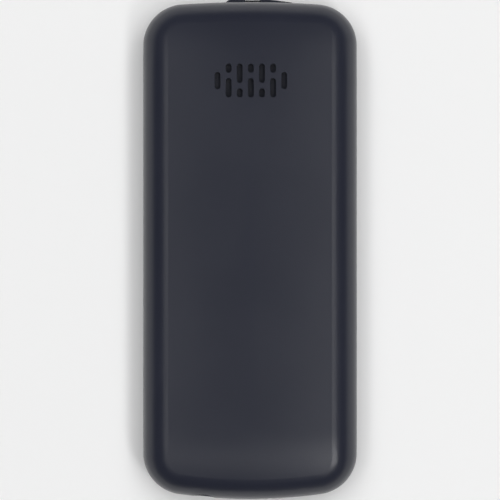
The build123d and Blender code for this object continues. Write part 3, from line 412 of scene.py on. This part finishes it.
polariser_colour = (0.012, 0.015, 0.022)
dot_line_colour = (0.02, 0.024, 0.034)
dot_pitch = 0.22 * mm
dot_line = 0.02 * mm
panel_smears = 70.0
polariser_roughness = (0.12, 0.2)
polariser, tree, shader = blank_material("polariser")
dots = add_node(
    tree,
    "TexBrick",
    {
        "Vector": cells(tree, 1 / dot_pitch),
        "Color1": (*polariser_colour, 1.0),
        "Color2": (*polariser_colour, 1.0),
        "Mortar": (*dot_line_colour, 1.0),
        "Scale": 1.0,
        "Mortar Size": dot_line / dot_pitch,
        "Brick Width": 1.0,
        "Row Height": 1.0,
    },
    offset=0.0,
)
feed(tree, shader.inputs, {
    "Base Color": dots.outputs["Color"],
    "Roughness": between(tree, smudged(tree, panel_smears), *polariser_roughness),
    "Specular IOR Level": 0.25,
})
polariser_inset = 3.0 * mm
polariser_corner = 0.2 * mm
polariser_set_back = 0.19 * mm
polariser_thickness = 0.1 * mm
lcd_box = box_of("lcd_module")
polariser_low = lcd_box.low.z + polariser_set_back
panel = plate(
    lcd_box.middle.xy, lcd_box.size.x - 2 * polariser_inset, lcd_box.size.y - 2 * polariser_inset,
    polariser_corner, polariser_low, polariser_low + polariser_thickness,
)
place("display_polariser", panel, "body", polariser)

flex_track_pitch = 0.5 * mm
flex_track_edge = (0.45, 0.55)
flex_ambers = ((0.42, 0.17, 0.02), (0.3, 0.14, 0.03))
flex_roughness = (0.28, 0.22)
flex_film, tree, shader = blank_material("flex_film")
on_track = spread(tree, stripes(tree, flex_track_pitch, "X"), *flex_track_edge)
feed(tree, shader.inputs, {
    "Base Color": blended(tree, on_track, *flex_ambers),
    "Roughness": between(tree, on_track, *flex_roughness),
})
dress(flex_film, "lcd_flex")

# Keys: caps of satin black ABS that slide in the front. Their signs are pad printed in white,
# and in green and red for the two that take and end a call.
key_plastic = moulded(
    "key_plastic", colour=(0.017, 0.0175, 0.021), roughness=0.33,
    surface={"Grain Density": 5200.0, "Grain Depth": 0.004 * mm, "Rub": 0.5},
)
ink_roughness = 0.45
ink_surface = {"Grain Depth": 0.002 * mm, "Edge Round": 0.01 * mm, "Drift": 0.12}
white_ink = moulded("white_ink", (0.62, 0.64, 0.66), ink_roughness, ink_surface)
green_ink = moulded("green_ink", (0.03, 0.4, 0.07), ink_roughness, ink_surface)
red_ink = moulded("red_ink", (0.5, 0.025, 0.02), ink_roughness, ink_surface)
ink_in = 0.012 * mm
ink_out = 0.006 * mm
digit_size = 4.2 * mm
letter_size = 2.2 * mm
digit_shift = 2.3 * mm
letter_shift = 2.1 * mm
key_signs = {
    "1": "",
    "2": "abc",
    "3": "def",
    "4": "ghi",
    "5": "jkl",
    "6": "mno",
    "7": "pqrs",
    "8": "tuv",
    "9": "wxyz",
    "star": "+",
    "0": "_",
    "hash": "a/A",
}
key_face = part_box("key_1")[0].z
print_height = key_face + (ink_in - ink_out) / 2


def add_lettering(mesh, text, size, centre, height, from_below=True):
    """Adds printed signs to a mesh. Those on the front read from below."""
    curve = bpy.data.curves.new("lettering", "FONT")
    curve.body = text
    curve.size = size
    curve.align_x = "CENTER"
    curve.align_y = "CENTER"
    curve.extrude = (ink_in + ink_out) / 2
    curve.resolution_u = 4
    holder = bpy.data.objects.new("lettering", curve)
    flat = bpy.data.meshes.new_from_object(holder)
    turn = Matrix.Rotation(math.pi if from_below else 0.0, 4, "Y")
    flat.transform(Matrix.Translation((*centre, height)) @ turn)
    mesh.from_mesh(flat)
    bpy.data.objects.remove(holder)
    bpy.data.curves.remove(curve)
    bpy.data.meshes.remove(flat)


for key, letters in key_signs.items():
    node = "key_" + key
    dress(key_plastic, node)
    x, y = box_of(node).middle.xy
    digit = {"star": "*", "hash": "#"}.get(key, key)
    signs = bmesh.new()
    add_lettering(signs, digit, digit_size, (x + digit_shift, y), print_height)
    if letters:
        add_lettering(signs, letters, letter_size, (x - letter_shift, y), print_height)
    place("print_" + key, signs, node, white_ink)

soft_bar_width = 3.6 * mm
soft_bar_length = 0.7 * mm
round_end_share = 0.45
for node in ("soft_key_left", "soft_key_right"):
    dress(key_plastic, node)
    bar = plate(
        box_of(node).middle.xy, soft_bar_width, soft_bar_length, soft_bar_length * round_end_share,
        key_face - ink_out, key_face + ink_in,
    )
    place("print_" + node, bar, node, white_ink)

receiver_inner = 1.55 * mm
receiver_outer = 2.25 * mm
receiver_middle = (receiver_inner + receiver_outer) / 2
receiver_sweep = math.radians(116)
receiver_steps = 16
receiver_ear_steps = 3
receiver_ear_depth = 0.62 * mm
receiver_drop = 0.8 * receiver_middle
call_facing = math.radians(215)
end_facing = math.radians(270)
ear_sweep = (receiver_ear_steps - 0.5) * receiver_sweep / receiver_steps
for node, ink, facing in (
    ("call_key", green_ink, call_facing),
    ("end_key", red_ink, end_facing),
):
    dress(key_plastic, node)
    receiver = bmesh.new()
    inner = receiver.verts.new((receiver_inner, 0, 0))
    outer = receiver.verts.new((receiver_outer, 0, 0))
    handle = receiver.edges.new((inner, outer))
    bmesh.ops.spin(
        receiver, geom=[inner, outer, handle], cent=(0, 0, 0), axis=(0, 0, 1), dvec=(0, 0, 0),
        angle=receiver_sweep, steps=receiver_steps,
    )
    # The inner side reaches in at both ends, for the ear and the mouth.
    for point in receiver.verts:
        at_end = not ear_sweep < math.atan2(point.co.y, point.co.x) < receiver_sweep - ear_sweep
        if at_end and point.co.length < receiver_middle:
            point.co *= 1 - receiver_ear_depth / receiver_inner
    thicken(receiver, list(receiver.faces), ink_in + ink_out)
    drop = Vector((-math.cos(facing), -math.sin(facing), 0)) * receiver_drop
    spot = Vector((*box_of(node).middle.xy, key_face - ink_out)) + drop
    turn = Matrix.Rotation(facing - receiver_sweep / 2, 4, "Z")
    receiver.transform(Matrix.Translation(spot) @ turn)
    place("print_" + node, receiver, node, ink)

# Rocker: a ring of vacuum metallised ABS that tilts on a black base, with the select key inside.
# Four small strokes are printed on the ring, one for each way that it tilts.
ring_metal = metal(
    "ring_metal", colour=(0.42, 0.43, 0.45), roughness=0.24,
    surface={"Tarnish": 0.08, "Edge Round": 0.1 * mm},
)
dress(ring_metal, "nav_ring")
dress(key_plastic, "nav_base", "select_key")
stroke_length = 1.8 * mm
stroke_width = 0.4 * mm
stroke_inset = 1.75 * mm
ring_box = box_of("nav_ring")
strokes = bmesh.new()
for step_x, step_y in ((1, 0), (-1, 0), (0, 1), (0, -1)):
    spot = (
        ring_box.middle.x + step_x * (ring_box.size.x / 2 - stroke_inset),
        ring_box.middle.y + step_y * (ring_box.size.y / 2 - stroke_inset),
    )
    width, length = (stroke_width, stroke_length) if step_x else (stroke_length, stroke_width)
    add_plate(
        strokes, spot, width, length, stroke_width * round_end_share, ring_box.low.z - ink_out,
        ring_box.low.z + ink_in,
    )
place("ring_strokes", strokes, "nav_ring", border_ink)

# Keypad mat and domes: a web of pale silicone between the keys and the sprung steel domes,
# which a clear film holds on the board.
silicone = moulded(
    "silicone", colour=(0.36, 0.36, 0.37), roughness=0.55,
    surface={"Grain Density": 2500.0, "Grain Depth": 0.004 * mm, "Rub": 0.0},
)
dress(silicone, "keypad_mat")
dress(metal("dome_steel", colour=(0.65, 0.65, 0.65), roughness=0.25), "dome_sheet")

# Main board: a glass fibre board under green solder mask, through which the tracks show as
# a raised, paler relief.
track_pitch = 0.9 * mm
track_height = 0.03 * mm
track_edge = (0.22, 0.26)
tracks_abreast = 4.0
area_disorder = 0.9
board_greens = ((0.008, 0.06, 0.026), (0.016, 0.115, 0.045))
board_roughness = (0.34, 0.26)
solder_mask, tree, shader = blank_material("solder_mask")
area_cells = {"Vector": cells(tree, 1 / (tracks_abreast * track_pitch)), "Scale": 1.0}
areas = add_node(
    tree, "TexVoronoi", {**area_cells, "Randomness": area_disorder}, distance="CHEBYCHEV"
)
rings = work(tree, "MULTIPLY", areas.outputs["Distance"], tracks_abreast)
track = spread(tree, work(tree, "PINGPONG", rings, 0.5), *track_edge)
feed(tree, shader.inputs, {
    "Base Color": blended(tree, track, *board_greens),
    "Roughness": between(tree, track, *board_roughness),
    "Normal": relief(tree, track, track_height),
})
dress(solder_mask, "main_board")

# Shields and card holders: cans folded from tinned steel and soldered to the board.
# Each holder has a black base with gold plated springs, which its window shows.
dress(tin_plate, "rf_shield", "processor_shield")
gold_plate = metal(
    "gold_plate", colour=(0.78, 0.55, 0.22), roughness=0.22, surface={"Tarnish": 0.15}
)
connector_plastic = moulded(
    "connector_plastic", colour=(0.014, 0.014, 0.015), roughness=0.5,
    surface={"Grain Density": 9000.0, "Grain Depth": 0.003 * mm, "Edge Round": 0.05 * mm},
)
base_inset = 0.4 * mm
base_corner = 0.3 * mm
base_height = 0.25 * mm
base_gap = 0.02 * mm
spring_width_share = 0.42
spring_length = 2.2 * mm
spring_rise = 0.35 * mm
spring_thickness = 0.06 * mm
spring_steps = 6
spring_rows = 2
first_row_inset = 1.9 * mm
row_pitch = 2.7 * mm
# How many springs stand side by side, and how far apart.
phone_card_springs = (3, 2.2 * mm)
memory_card_springs = (4, 1.6 * mm)
holders = {
    "sim_holder_left": phone_card_springs,
    "sim_holder_right": phone_card_springs,
    "memory_card_holder": memory_card_springs,
}


def add_spring(mesh, centre, width, length, bottom, rise):
    """Adds a thin bowed leaf spring, highest in the middle of its length."""
    leaf = bmesh.ops.create_grid(mesh, x_segments=1, y_segments=spring_steps, size=0.5)["verts"]
    for point in leaf:
        point.co.z = rise / length * (1 - (2 * point.co.y) ** 2)
    bmesh.ops.scale(mesh, vec=(width, length, length), verts=leaf)
    bmesh.ops.translate(mesh, vec=(*centre, bottom), verts=leaf)
    faces = list({face for point in leaf for face in point.link_faces})
    thicken(mesh, faces, spring_thickness)


for node, (columns, pitch) in holders.items():
    dress(tin_plate, node)
    holder = box_of(node)
    base_low = holder.low.z + base_gap
    base_top = base_low + base_height
    base = plate(
        holder.middle.xy, holder.size.x - 2 * base_inset, holder.size.y - 2 * base_inset,
        base_corner, base_low, base_top,
    )
    place(node + "_base", base, "body", connector_plastic)
    springs = bmesh.new()
    for column in range(columns):
        for row in range(spring_rows):
            spot = (
                holder.middle.x + (column - (columns - 1) / 2) * pitch,
                holder.low.y + first_row_inset + row * row_pitch,
            )
            width = pitch * spring_width_share
            add_spring(springs, spot, width, spring_length, base_top, spring_rise)
    place(node + "_springs", springs, "body", gold_plate)

# Battery connector: a black block on the board. Three gold plated springs reach into the bay.
# They press on the battery's pads at the middle of the pads' height.
dress(connector_plastic, "battery_connector")
contact_pitch = 3.0 * mm
contact_width = 1.3 * mm
contact_height = 0.6 * mm
contact_corner = 0.3 * mm
contact_reach = 1.62 * mm
contact_skin = 0.03 * mm
contact_level_share = 0.25
contact_drop = 0.5 * mm
battery_box = box_of("battery")
contact_level = battery_box.low.z + battery_box.size.z * contact_level_share - contact_drop
contact_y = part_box("battery_connector")[0].y + contact_reach / 2
contacts = bmesh.new()
for column in (-1, 0, 1):
    add_plate(
        contacts, (column * contact_pitch, contact_y), contact_width,
        contact_reach + 2 * contact_skin, contact_corner, contact_level - contact_height / 2,
        contact_level + contact_height / 2,
    )
place("connector_springs", contacts, "body", gold_plate)

# Sockets in the bottom end: the charging socket is a folded steel shell round a black tongue with
# five gold contacts, and the audio socket is a black block with a round bore.
dress(tin_plate, "usb_socket")
dress(connector_plastic, "audio_socket")
tongue_width = 3.9 * mm
tongue_height = 0.66 * mm
tongue_corner = 0.2 * mm
tongue_mouth = 1.6 * mm
tongue_root = 0.35 * mm
strip_pitch = 0.65 * mm
strip_width = 0.35 * mm
strip_corner = 0.1 * mm
strip_share = 0.85
usb_box = box_of("usb_socket")
tongue_length = usb_box.size.y - tongue_mouth - tongue_root
tongue_y = usb_box.high.y - tongue_root - tongue_length / 2
tongue_top = usb_box.middle.z + tongue_height / 2
tongue = plate(
    (usb_box.middle.x, tongue_y), tongue_width, tongue_length, tongue_corner,
    usb_box.middle.z - tongue_height / 2, tongue_top,
)
place("usb_tongue", tongue, "body", connector_plastic)
strips = bmesh.new()
for column in (-2, -1, 0, 1, 2):
    add_plate(
        strips, (usb_box.middle.x + column * strip_pitch, tongue_y), strip_width,
        tongue_length * strip_share, strip_corner, tongue_top - ink_in, tongue_top + ink_depth,
    )
place("usb_contacts", strips, "body", gold_plate)

# Sound at the front: the earpiece in its black can behind a woven dust mesh, and the microphone
# in its rubber boot.


def woven_mesh(name, colour, pitch):
    """A dust mesh of fine round threads, woven over and under."""
    thread_bottom = 0.2
    thread_rise = pitch / 5
    # Painted shade and light: the threads' colour is darker in the gaps between them, as shade, and
    # lighter on their crests, as light.
    gap_shade_and_crest_light = (0.45, 1.15)
    thread_roughness = (0.8, 0.5)
    made, tree, shader = blank_material(name)
    threads = work(tree, "MAXIMUM", stripes(tree, pitch, "X"), stripes(tree, pitch, "Y"))
    # The weave's painted shade in the gaps and painted light on the crests scale the colour here.
    tone = spread(tree, threads, thread_bottom, 1.0, *gap_shade_and_crest_light)
    feed(tree, shader.inputs, {
        "Base Color": scaled(tree, colour, tone),
        "Roughness": between(tree, threads, *thread_roughness),
        "Normal": relief(tree, threads, thread_rise),
    })
    return made


earpiece_weave = woven_mesh("earpiece_weave", colour=(0.02, 0.02, 0.021), pitch=0.2 * mm)
dress(earpiece_weave, "earpiece_mesh")
painted_steel = moulded(
    "painted_steel", colour=(0.02, 0.02, 0.02), roughness=0.35,
    surface={"Grain Density": 2200.0, "Grain Depth": 0.003 * mm},
)
dress(painted_steel, "earpiece", "loudspeaker")
dress(tin_plate, "microphone")
rubber = moulded(
    "rubber", colour=(0.016, 0.016, 0.016), roughness=0.75,
    surface={"Grain Density": 4000.0, "Grain Depth": 0.006 * mm, "Rub": 0.1},
)
dress(rubber, "microphone_boot")

# Torch: a clear acrylic light guide in the hood, ribbed to spread the light, before a white
# ceramic lamp with its yellow phosphor.
rib_pitch = 0.5 * mm
rib_depth = 0.06 * mm
rib_tints = ((0.95, 0.97, 1.0), (0.86, 0.88, 0.9))
rib_roughness = (0.06, 0.2)
lens_acrylic, tree, shader = blank_material("lens_acrylic")
lens_ribs = stripes(tree, rib_pitch, "X")
feed(tree, shader.inputs, {
    "Base Color": blended(tree, lens_ribs, *rib_tints),
    "Roughness": between(tree, lens_ribs, *rib_roughness),
    "Normal": relief(tree, lens_ribs, rib_depth),
    "Transmission Weight": 1.0,
    "IOR": acrylic_ior,
})
dress(lens_acrylic, "torch_lens")
lamp_grain = {"Grain Density": 9000.0, "Rub": 0.0}
ceramic = moulded(
    "ceramic", colour=(0.8, 0.8, 0.78), roughness=0.35,
    surface={**lamp_grain, "Grain Depth": 0.002 * mm, "Edge Round": 0.04 * mm},
)
dress(ceramic, "torch_led")
phosphor_resin = moulded(
    "phosphor_resin", colour=(0.78, 0.62, 0.05), roughness=0.5,
    surface={**lamp_grain, "Grain Depth": 0.01 * mm, "Edge Round": 0.02 * mm},
)
phosphor_width = 1.1 * mm
phosphor_height = 0.5 * mm
phosphor_corner = 0.15 * mm
phosphor_depth = 0.05 * mm
lamp = box_of("torch_led")
lamp_front = Matrix.Translation((lamp.middle.x, lamp.high.y, lamp.middle.z))
face_to_end = Matrix.Rotation(-math.pi / 2, 4, "X")
phosphor = plate((0, 0), phosphor_width, phosphor_height, phosphor_corner, 0, phosphor_depth)
phosphor.transform(lamp_front @ face_to_end)
place("torch_phosphor", phosphor, "body", phosphor_resin)

# Rear housing: the black chassis of glass filled polycarbonate, with a duller and coarser skin
# than the covers. Six black screws hold it to the front.
chassis_plastic = moulded(
    "chassis_plastic", colour=(0.02, 0.02, 0.0215), roughness=0.5,
    surface={"Grain Density": 2600.0, "Grain Depth": 0.012 * mm, "Rub": 0.8},
)
dress(chassis_plastic, "rear_housing")
black_zinc = metal(
    "black_zinc", colour=(0.09, 0.09, 0.1), roughness=0.34, surface={"Tarnish": 0.5}
)
dress(black_zinc, "housing_screws")

# Antenna: a plate stamped from gold plated brass. It lies on its shelf over the bottom end,
# and has dulled a little.
antenna_brass = metal(
    "antenna_brass", colour=(0.72, 0.53, 0.24), roughness=0.3, surface={"Tarnish": 0.45}
)
dress(antenna_brass, "antenna")

# Loudspeaker: a black steel basket, with a cone and rolled surround pressed from one thin film,
# and a domed cap in the middle.
surround_outer = 7.6 * mm
surround_inner = 5.7 * mm
surround_steps = 8
surround_rise = 0.35 * mm
film_set_back = 0.42 * mm
film_thickness = 0.03 * mm
cone_drop = 0.22 * mm
cap_radius = 3.2 * mm
cap_rise = 0.55 * mm
cap_steps = 6
turns_round = 64
same_point = 0.006 * mm
speaker = box_of("loudspeaker")
film_level = speaker.high.z - film_set_back
surround_radius = (surround_outer + surround_inner) / 2
surround_half = (surround_outer - surround_inner) / 2
diaphragm = bmesh.new()
points = []
# The profile runs from the outer rim over the rolled surround, down to the cone, and up
# over the cap to the middle.
for step in range(surround_steps + 1):
    turn = math.pi * step / surround_steps
    radius = surround_radius + surround_half * math.cos(turn)
    points.append(diaphragm.verts.new((radius, 0, film_level + surround_rise * math.sin(turn))))
for step in range(cap_steps + 1):
    share = 1 - step / cap_steps
    height = film_level - cone_drop + cap_rise * (1 - share**2)
    points.append(diaphragm.verts.new((cap_radius * share, 0, height)))
rims = [diaphragm.edges.new(pair) for pair in zip(points, points[1:])]
bmesh.ops.spin(
    diaphragm, geom=points + rims, cent=(0, 0, 0), axis=(0, 0, 1), dvec=(0, 0, 0),
    angle=2 * math.pi, steps=turns_round, use_merge=True,
)
bmesh.ops.remove_doubles(diaphragm, verts=diaphragm.verts, dist=same_point)
bmesh.ops.translate(diaphragm, vec=(*speaker.middle.xy, 0), verts=diaphragm.verts)
bmesh.ops.recalc_face_normals(diaphragm, faces=diaphragm.faces)
bmesh.ops.solidify(diaphragm, geom=list(diaphragm.faces), thickness=film_thickness)
speaker_film = moulded(
    "speaker_film", colour=(0.03, 0.03, 0.032), roughness=0.22,
    surface={"Grain Density": 900.0, "Grain Depth": 0.012 * mm, "Edge Round": 0.02 * mm},
)
place("speaker_diaphragm", diaphragm, "body", speaker_film, round_angle=50)

# Vibration motor: a drawn steel can, pressed into its cradle in the chassis. It spins a half disc
# of sintered tungsten, which shakes the phone.
motor_can = metal("motor_can", colour=(0.55, 0.55, 0.54), roughness=0.22)
dress(motor_can, "vibration_motor")
tungsten = metal("tungsten", colour=(0.2, 0.2, 0.2), roughness=0.5, surface={"Tarnish": 0.6})
dress(tungsten, "motor_weight")

# Battery: a lithium cell between a black end cap and its foot, wrapped in grey printed film.
# The film's free edge is glued down along the back, and gold pads are sunk in the end cap.
end_cap_depth = 3.2 * mm
foot_depth = 1.4 * mm
wrap_colour = (0.2, 0.21, 0.225)
cap_colour = (0.016, 0.016, 0.017)
wrap_relief = 0.08 * mm
fleck_density, fleck_shades = 2400.0, (0.82, 1.18)
crease_density, crease_bend, crease_share = 130.0, 0.6, 0.5
crease_bare, crease_full, crease_roughness = 0.3, 0.7, (0.26, 0.38)
plastic_roughness = 0.18
plastic_sunk = -0.6
battery_skin, tree, shader = blank_material("battery_skin")
where = add_node(tree, "TexCoord").outputs["Object"]
along = add_node(tree, "SeparateXYZ", {"Vector": where}).outputs["Y"]
on_cap = work(tree, "GREATER_THAN", along, battery_box.high.y - end_cap_depth)
on_foot = work(tree, "LESS_THAN", along, battery_box.low.y + foot_depth)
on_plastic = work(tree, "MAXIMUM", on_cap, on_foot)
flecks = between(tree, clouds(tree, fleck_density), *fleck_shades)
creases = clouds(tree, crease_density, distortion=crease_bend)
film_roughness = spread(tree, creases, crease_bare, crease_full, *crease_roughness)
crease_height = work(tree, "MULTIPLY", creases, crease_share)
skin_height = work(tree, "MULTIPLY_ADD", on_plastic, plastic_sunk, crease_height)
feed(tree, shader.inputs, {
    "Base Color": blended(tree, on_plastic, scaled(tree, wrap_colour, flecks), cap_colour),
    "Roughness": work(tree, "MULTIPLY_ADD", on_plastic, plastic_roughness, film_roughness),
    "Normal": relief(tree, skin_height, wrap_relief),
})
dress(battery_skin, "battery")

seam_width = 5.0 * mm
seam_corner = 0.3 * mm
seam_thickness = 0.04 * mm
seam_x = -8.0 * mm
seam_length = battery_box.size.y - end_cap_depth - foot_depth
seam = plate(
    (seam_x, battery_box.low.y + foot_depth + seam_length / 2), seam_width, seam_length,
    seam_corner, battery_box.high.z - seam_thickness / 2, battery_box.high.z + seam_thickness / 2,
)
wrap_film = moulded(
    "wrap_film", wrap_colour, roughness=0.3,
    surface={
        "Grain Density": fleck_density,
        "Grain Depth": 0.002 * mm,
        "Edge Round": 0.02 * mm,
        "Drift": 0.12,
    },
)
place("battery_seam", seam, "battery", wrap_film)
pad_width = 2.0 * mm
pad_height = 0.95 * mm
pad_corner = 0.2 * mm
pad_depth = 0.08 * mm
pad_set_back = 0.17 * mm
pads = bmesh.new()
for column in (-1, 0, 1):
    add_plate(pads, (column * contact_pitch, 0), pad_width, pad_height, pad_corner, 0, pad_depth)
pads_y = battery_box.high.y - pad_set_back - pad_depth
pads.transform(Matrix.Translation((0, pads_y, contact_level)) @ face_to_end)
place("battery_pads", pads, "battery", gold_plate)
pole_size = 2.6 * mm
pole_shift = 6.0 * mm
pole_y = battery_box.high.y - end_cap_depth / 2
poles = bmesh.new()
for sign, side in (("+", 1), ("-", -1)):
    spot = (side * pole_shift, pole_y)
    add_lettering(poles, sign, pole_size, spot, battery_box.high.z, from_below=False)
place("battery_signs", poles, "battery", white_ink)

# Rear cover: the clip-fit back shell, moulded in the same slate plastic as the front housing.
# An acoustic mesh is glued under the slots that let the loudspeaker's sound out.
cover_plastic = moulded("cover_plastic", slate_colour, slate_roughness)
dress(cover_plastic, "rear_cover")
acoustic_width = 17.0 * mm
acoustic_length = 8.7 * mm
acoustic_corner = 2.0 * mm
acoustic_drop = 1.35 * mm
acoustic_thickness = 0.1 * mm
acoustic_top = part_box("rear_cover")[1].z - acoustic_drop
acoustic = plate(
    speaker.middle.xy, acoustic_width, acoustic_length, acoustic_corner,
    acoustic_top - acoustic_thickness, acoustic_top,
)
acoustic_weave = woven_mesh("acoustic_weave", colour=(0.008, 0.009, 0.015), pitch=0.16 * mm)
place("acoustic_mesh", acoustic, "rear_cover", acoustic_weave)

# Studio floor: a pale matte sheet. It is see-through from below, so that the front can be looked
# at, and right under the phone it lets the light of the lamps beneath through to the front.
# Away from the phone it runs out into the plain pale backdrop.
floor_radius = 4.0
floor_sides = 96
floor_colour = (0.93, 0.93, 0.93)
backdrop_start = 0.14
backdrop_full = 0.6
backdrop_pale = 0.87
shade_corner = 13.0 * mm
shade_full = 1.3 * mm
shade_none = 4.0 * mm
floor_mesh = bpy.data.meshes.new("floor")
disc = bmesh.new()
bmesh.ops.create_circle(disc, cap_ends=True, segments=floor_sides, radius=floor_radius)
disc.to_mesh(floor_mesh)
disc.free()
floor = bpy.data.objects.new("floor", floor_mesh)
bpy.context.scene.collection.objects.link(floor)
floor_paint, tree, shader = blank_material("floor_paint")
feed(tree, shader.inputs, {
    "Base Color": (*floor_colour, 1.0),
    "Roughness": 0.9,
    "Specular IOR Level": 0.1,
})
from_below = add_node(tree, "NewGeometry").outputs["Backfacing"]
rays = add_node(tree, "LightPath").outputs
where = add_node(tree, "TexCoord").outputs["Object"]
# The place right under the phone is a rectangle with round corners and a soft edge.
spot = add_node(tree, "SeparateXYZ", {"Vector": where}).outputs
beyond = [
    work(tree, "MAXIMUM", work(tree, "SUBTRACT", work(tree, "ABSOLUTE", spot[axis]), reach), 0.0)
    for axis, reach in (("X", cad_high.x - shade_corner), ("Y", cad_high.y - shade_corner))
]
squared = [work(tree, "MULTIPLY", length, length) for length in beyond]
off_middle = work(tree, "SQRT", work(tree, "ADD", *squared))
under_phone = spread(
    tree, off_middle, shade_corner - shade_none, shade_corner - shade_full, 1.0, 0.0
)
gloss_or_lamp = work(tree, "MAXIMUM", rays["Is Glossy Ray"], rays["Is Shadow Ray"])
to_front = work(tree, "MULTIPLY", under_phone, gloss_or_lamp)
see_through = work(tree, "MAXIMUM", from_below, to_front)
# The camera, gloss and glass see the far part as the plain backdrop.
off_phone = add_node(tree, "VectorMath", {0: where}, operation="LENGTH").outputs["Value"]
shown = work(tree, "MAXIMUM", rays["Is Camera Ray"], rays["Is Glossy Ray"])
shown = work(tree, "MAXIMUM", shown, rays["Is Transmission Ray"])
far_off = work(tree, "MULTIPLY", shown, spread(tree, off_phone, backdrop_start, backdrop_full))
glow = add_node(tree, "Emission", {"Strength": backdrop_pale}).outputs["Emission"]
upper = add_node(tree, "MixShader", {0: far_off, 1: shader.outputs["BSDF"], 2: glow})
clear = add_node(tree, "BsdfTransparent").outputs["BSDF"]
sheet = add_node(tree, "MixShader", {0: see_through, 1: upper.outputs["Shader"], 2: clear})
feed(tree, tree.nodes["Material Output"].inputs, {"Surface": sheet.outputs["Shader"]})
floor_mesh.materials.append(floor_paint)

# Studio dome: pale round the horizon, least so at the bottom end, and dim overhead, where the
# camera hangs, and underneath. The camera sees it pale all over, past the phone.
dome_pale = 0.87
dome_dim = 0.07
dome_under = 0.25
bottom_end_dip = 0.2
fade_up_start, fade_up_end = math.radians(6), math.radians(18)
fade_down_start, fade_down_end = math.radians(-4), math.radians(-26)
world = bpy.data.worlds.new("studio_dome")
bpy.context.scene.world = world
world.use_nodes = True
tree = world.node_tree
direction = add_node(tree, "TexCoord").outputs["Generated"]
way = add_node(tree, "SeparateXYZ", {"Vector": direction}).outputs
to_bottom_end = work(tree, "MAXIMUM", work(tree, "MULTIPLY", way["Y"], -1.0), 0.0)
level = work(tree, "MULTIPLY_ADD", to_bottom_end, bottom_end_dip, way["Z"])
# A way over or under the horizon is told by the sine of its angle.
fades = [
    spread(
        tree, level, math.sin(start), math.sin(end), dome_pale, dimmed,
        interpolation_type="SMOOTHSTEP",
    )
    for start, end, dimmed in (
        (fade_up_start, fade_up_end, dome_dim),
        (fade_down_start, fade_down_end, dome_under),
    )
]
to_camera = add_node(tree, "LightPath").outputs["Is Camera Ray"]
lit = work(tree, "MINIMUM", *fades)
dome = add_node(tree, "Mix", {"Factor": to_camera, "A": lit, "B": dome_pale})
feed(tree, tree.nodes["Background"].inputs, {"Color": dome.outputs["Result"]})

# Soft boxes: strips at both sides and at the bottom end, and a smaller key at the bottom right.
# The overhead sheet only fills the matt light, so it has no gloss of its own. Two lamps under
# the floor light the front.


def soft_box(name, side_turn, tilt, distance, width, length, radiance, glossy=True):
    """An area lamp aimed at the phone, at a tilt from overhead and a compass turn, in degrees."""
    lamp_data = bpy.data.lights.new(name, "AREA")
    lamp_data.shape = "RECTANGLE"
    lamp_data.size = width
    lamp_data.size_y = length
    lamp_data.energy = radiance * math.pi * width * length
    holder = bpy.data.objects.new(name, lamp_data)
    turn = Matrix.Rotation(math.radians(side_turn), 4, "Z")
    lean = Matrix.Rotation(math.radians(tilt), 4, "Y")
    holder.matrix_world = turn @ lean @ Matrix.Translation((0, 0, distance))
    holder.visible_camera = False
    holder.visible_glossy = glossy
    holder.visible_transmission = False
    bpy.context.scene.collection.objects.link(holder)


for name, side_turn, radiance in (("strip_right", 0, 2.4), ("strip_left", 180, 2.0)):
    soft_box(name, side_turn, tilt=20, distance=0.9, width=0.15, length=0.9, radiance=radiance)
soft_box(
    "strip_bottom", side_turn=-90, tilt=24, distance=0.9, width=0.2, length=0.5, radiance=0.85
)
soft_box("key", side_turn=-46, tilt=33, distance=0.9, width=0.14, length=0.14, radiance=17.0)
soft_box(
    "overhead_fill", side_turn=90, tilt=14, distance=1.3, width=1.6, length=1.6, radiance=1.72,
    glossy=False,
)
for name, side_turn in (("front_key_top", 60), ("front_key_low", 240)):
    soft_box(name, side_turn, tilt=145, distance=1.1, width=0.5, length=0.5, radiance=4.0)

# Camera: a long lens straight above the back, so far off that the picture spans 114.6 mm at the
# height where the phone is widest.
frame_span = 114.58 * mm
widest_height = 8.0 * mm
view_middle_y = -0.285 * mm
lens = 200.0
sensor = 36.0
camera_data = bpy.data.cameras.new("camera")
camera_data.lens = lens
camera_data.sensor_width = sensor
camera = bpy.data.objects.new("camera", camera_data)
camera.location = (0, view_middle_y, widest_height + frame_span * lens / sensor)
bpy.context.scene.collection.objects.link(camera)
bpy.context.scene.camera = camera
bpy.context.scene.view_settings.view_transform = "Standard"
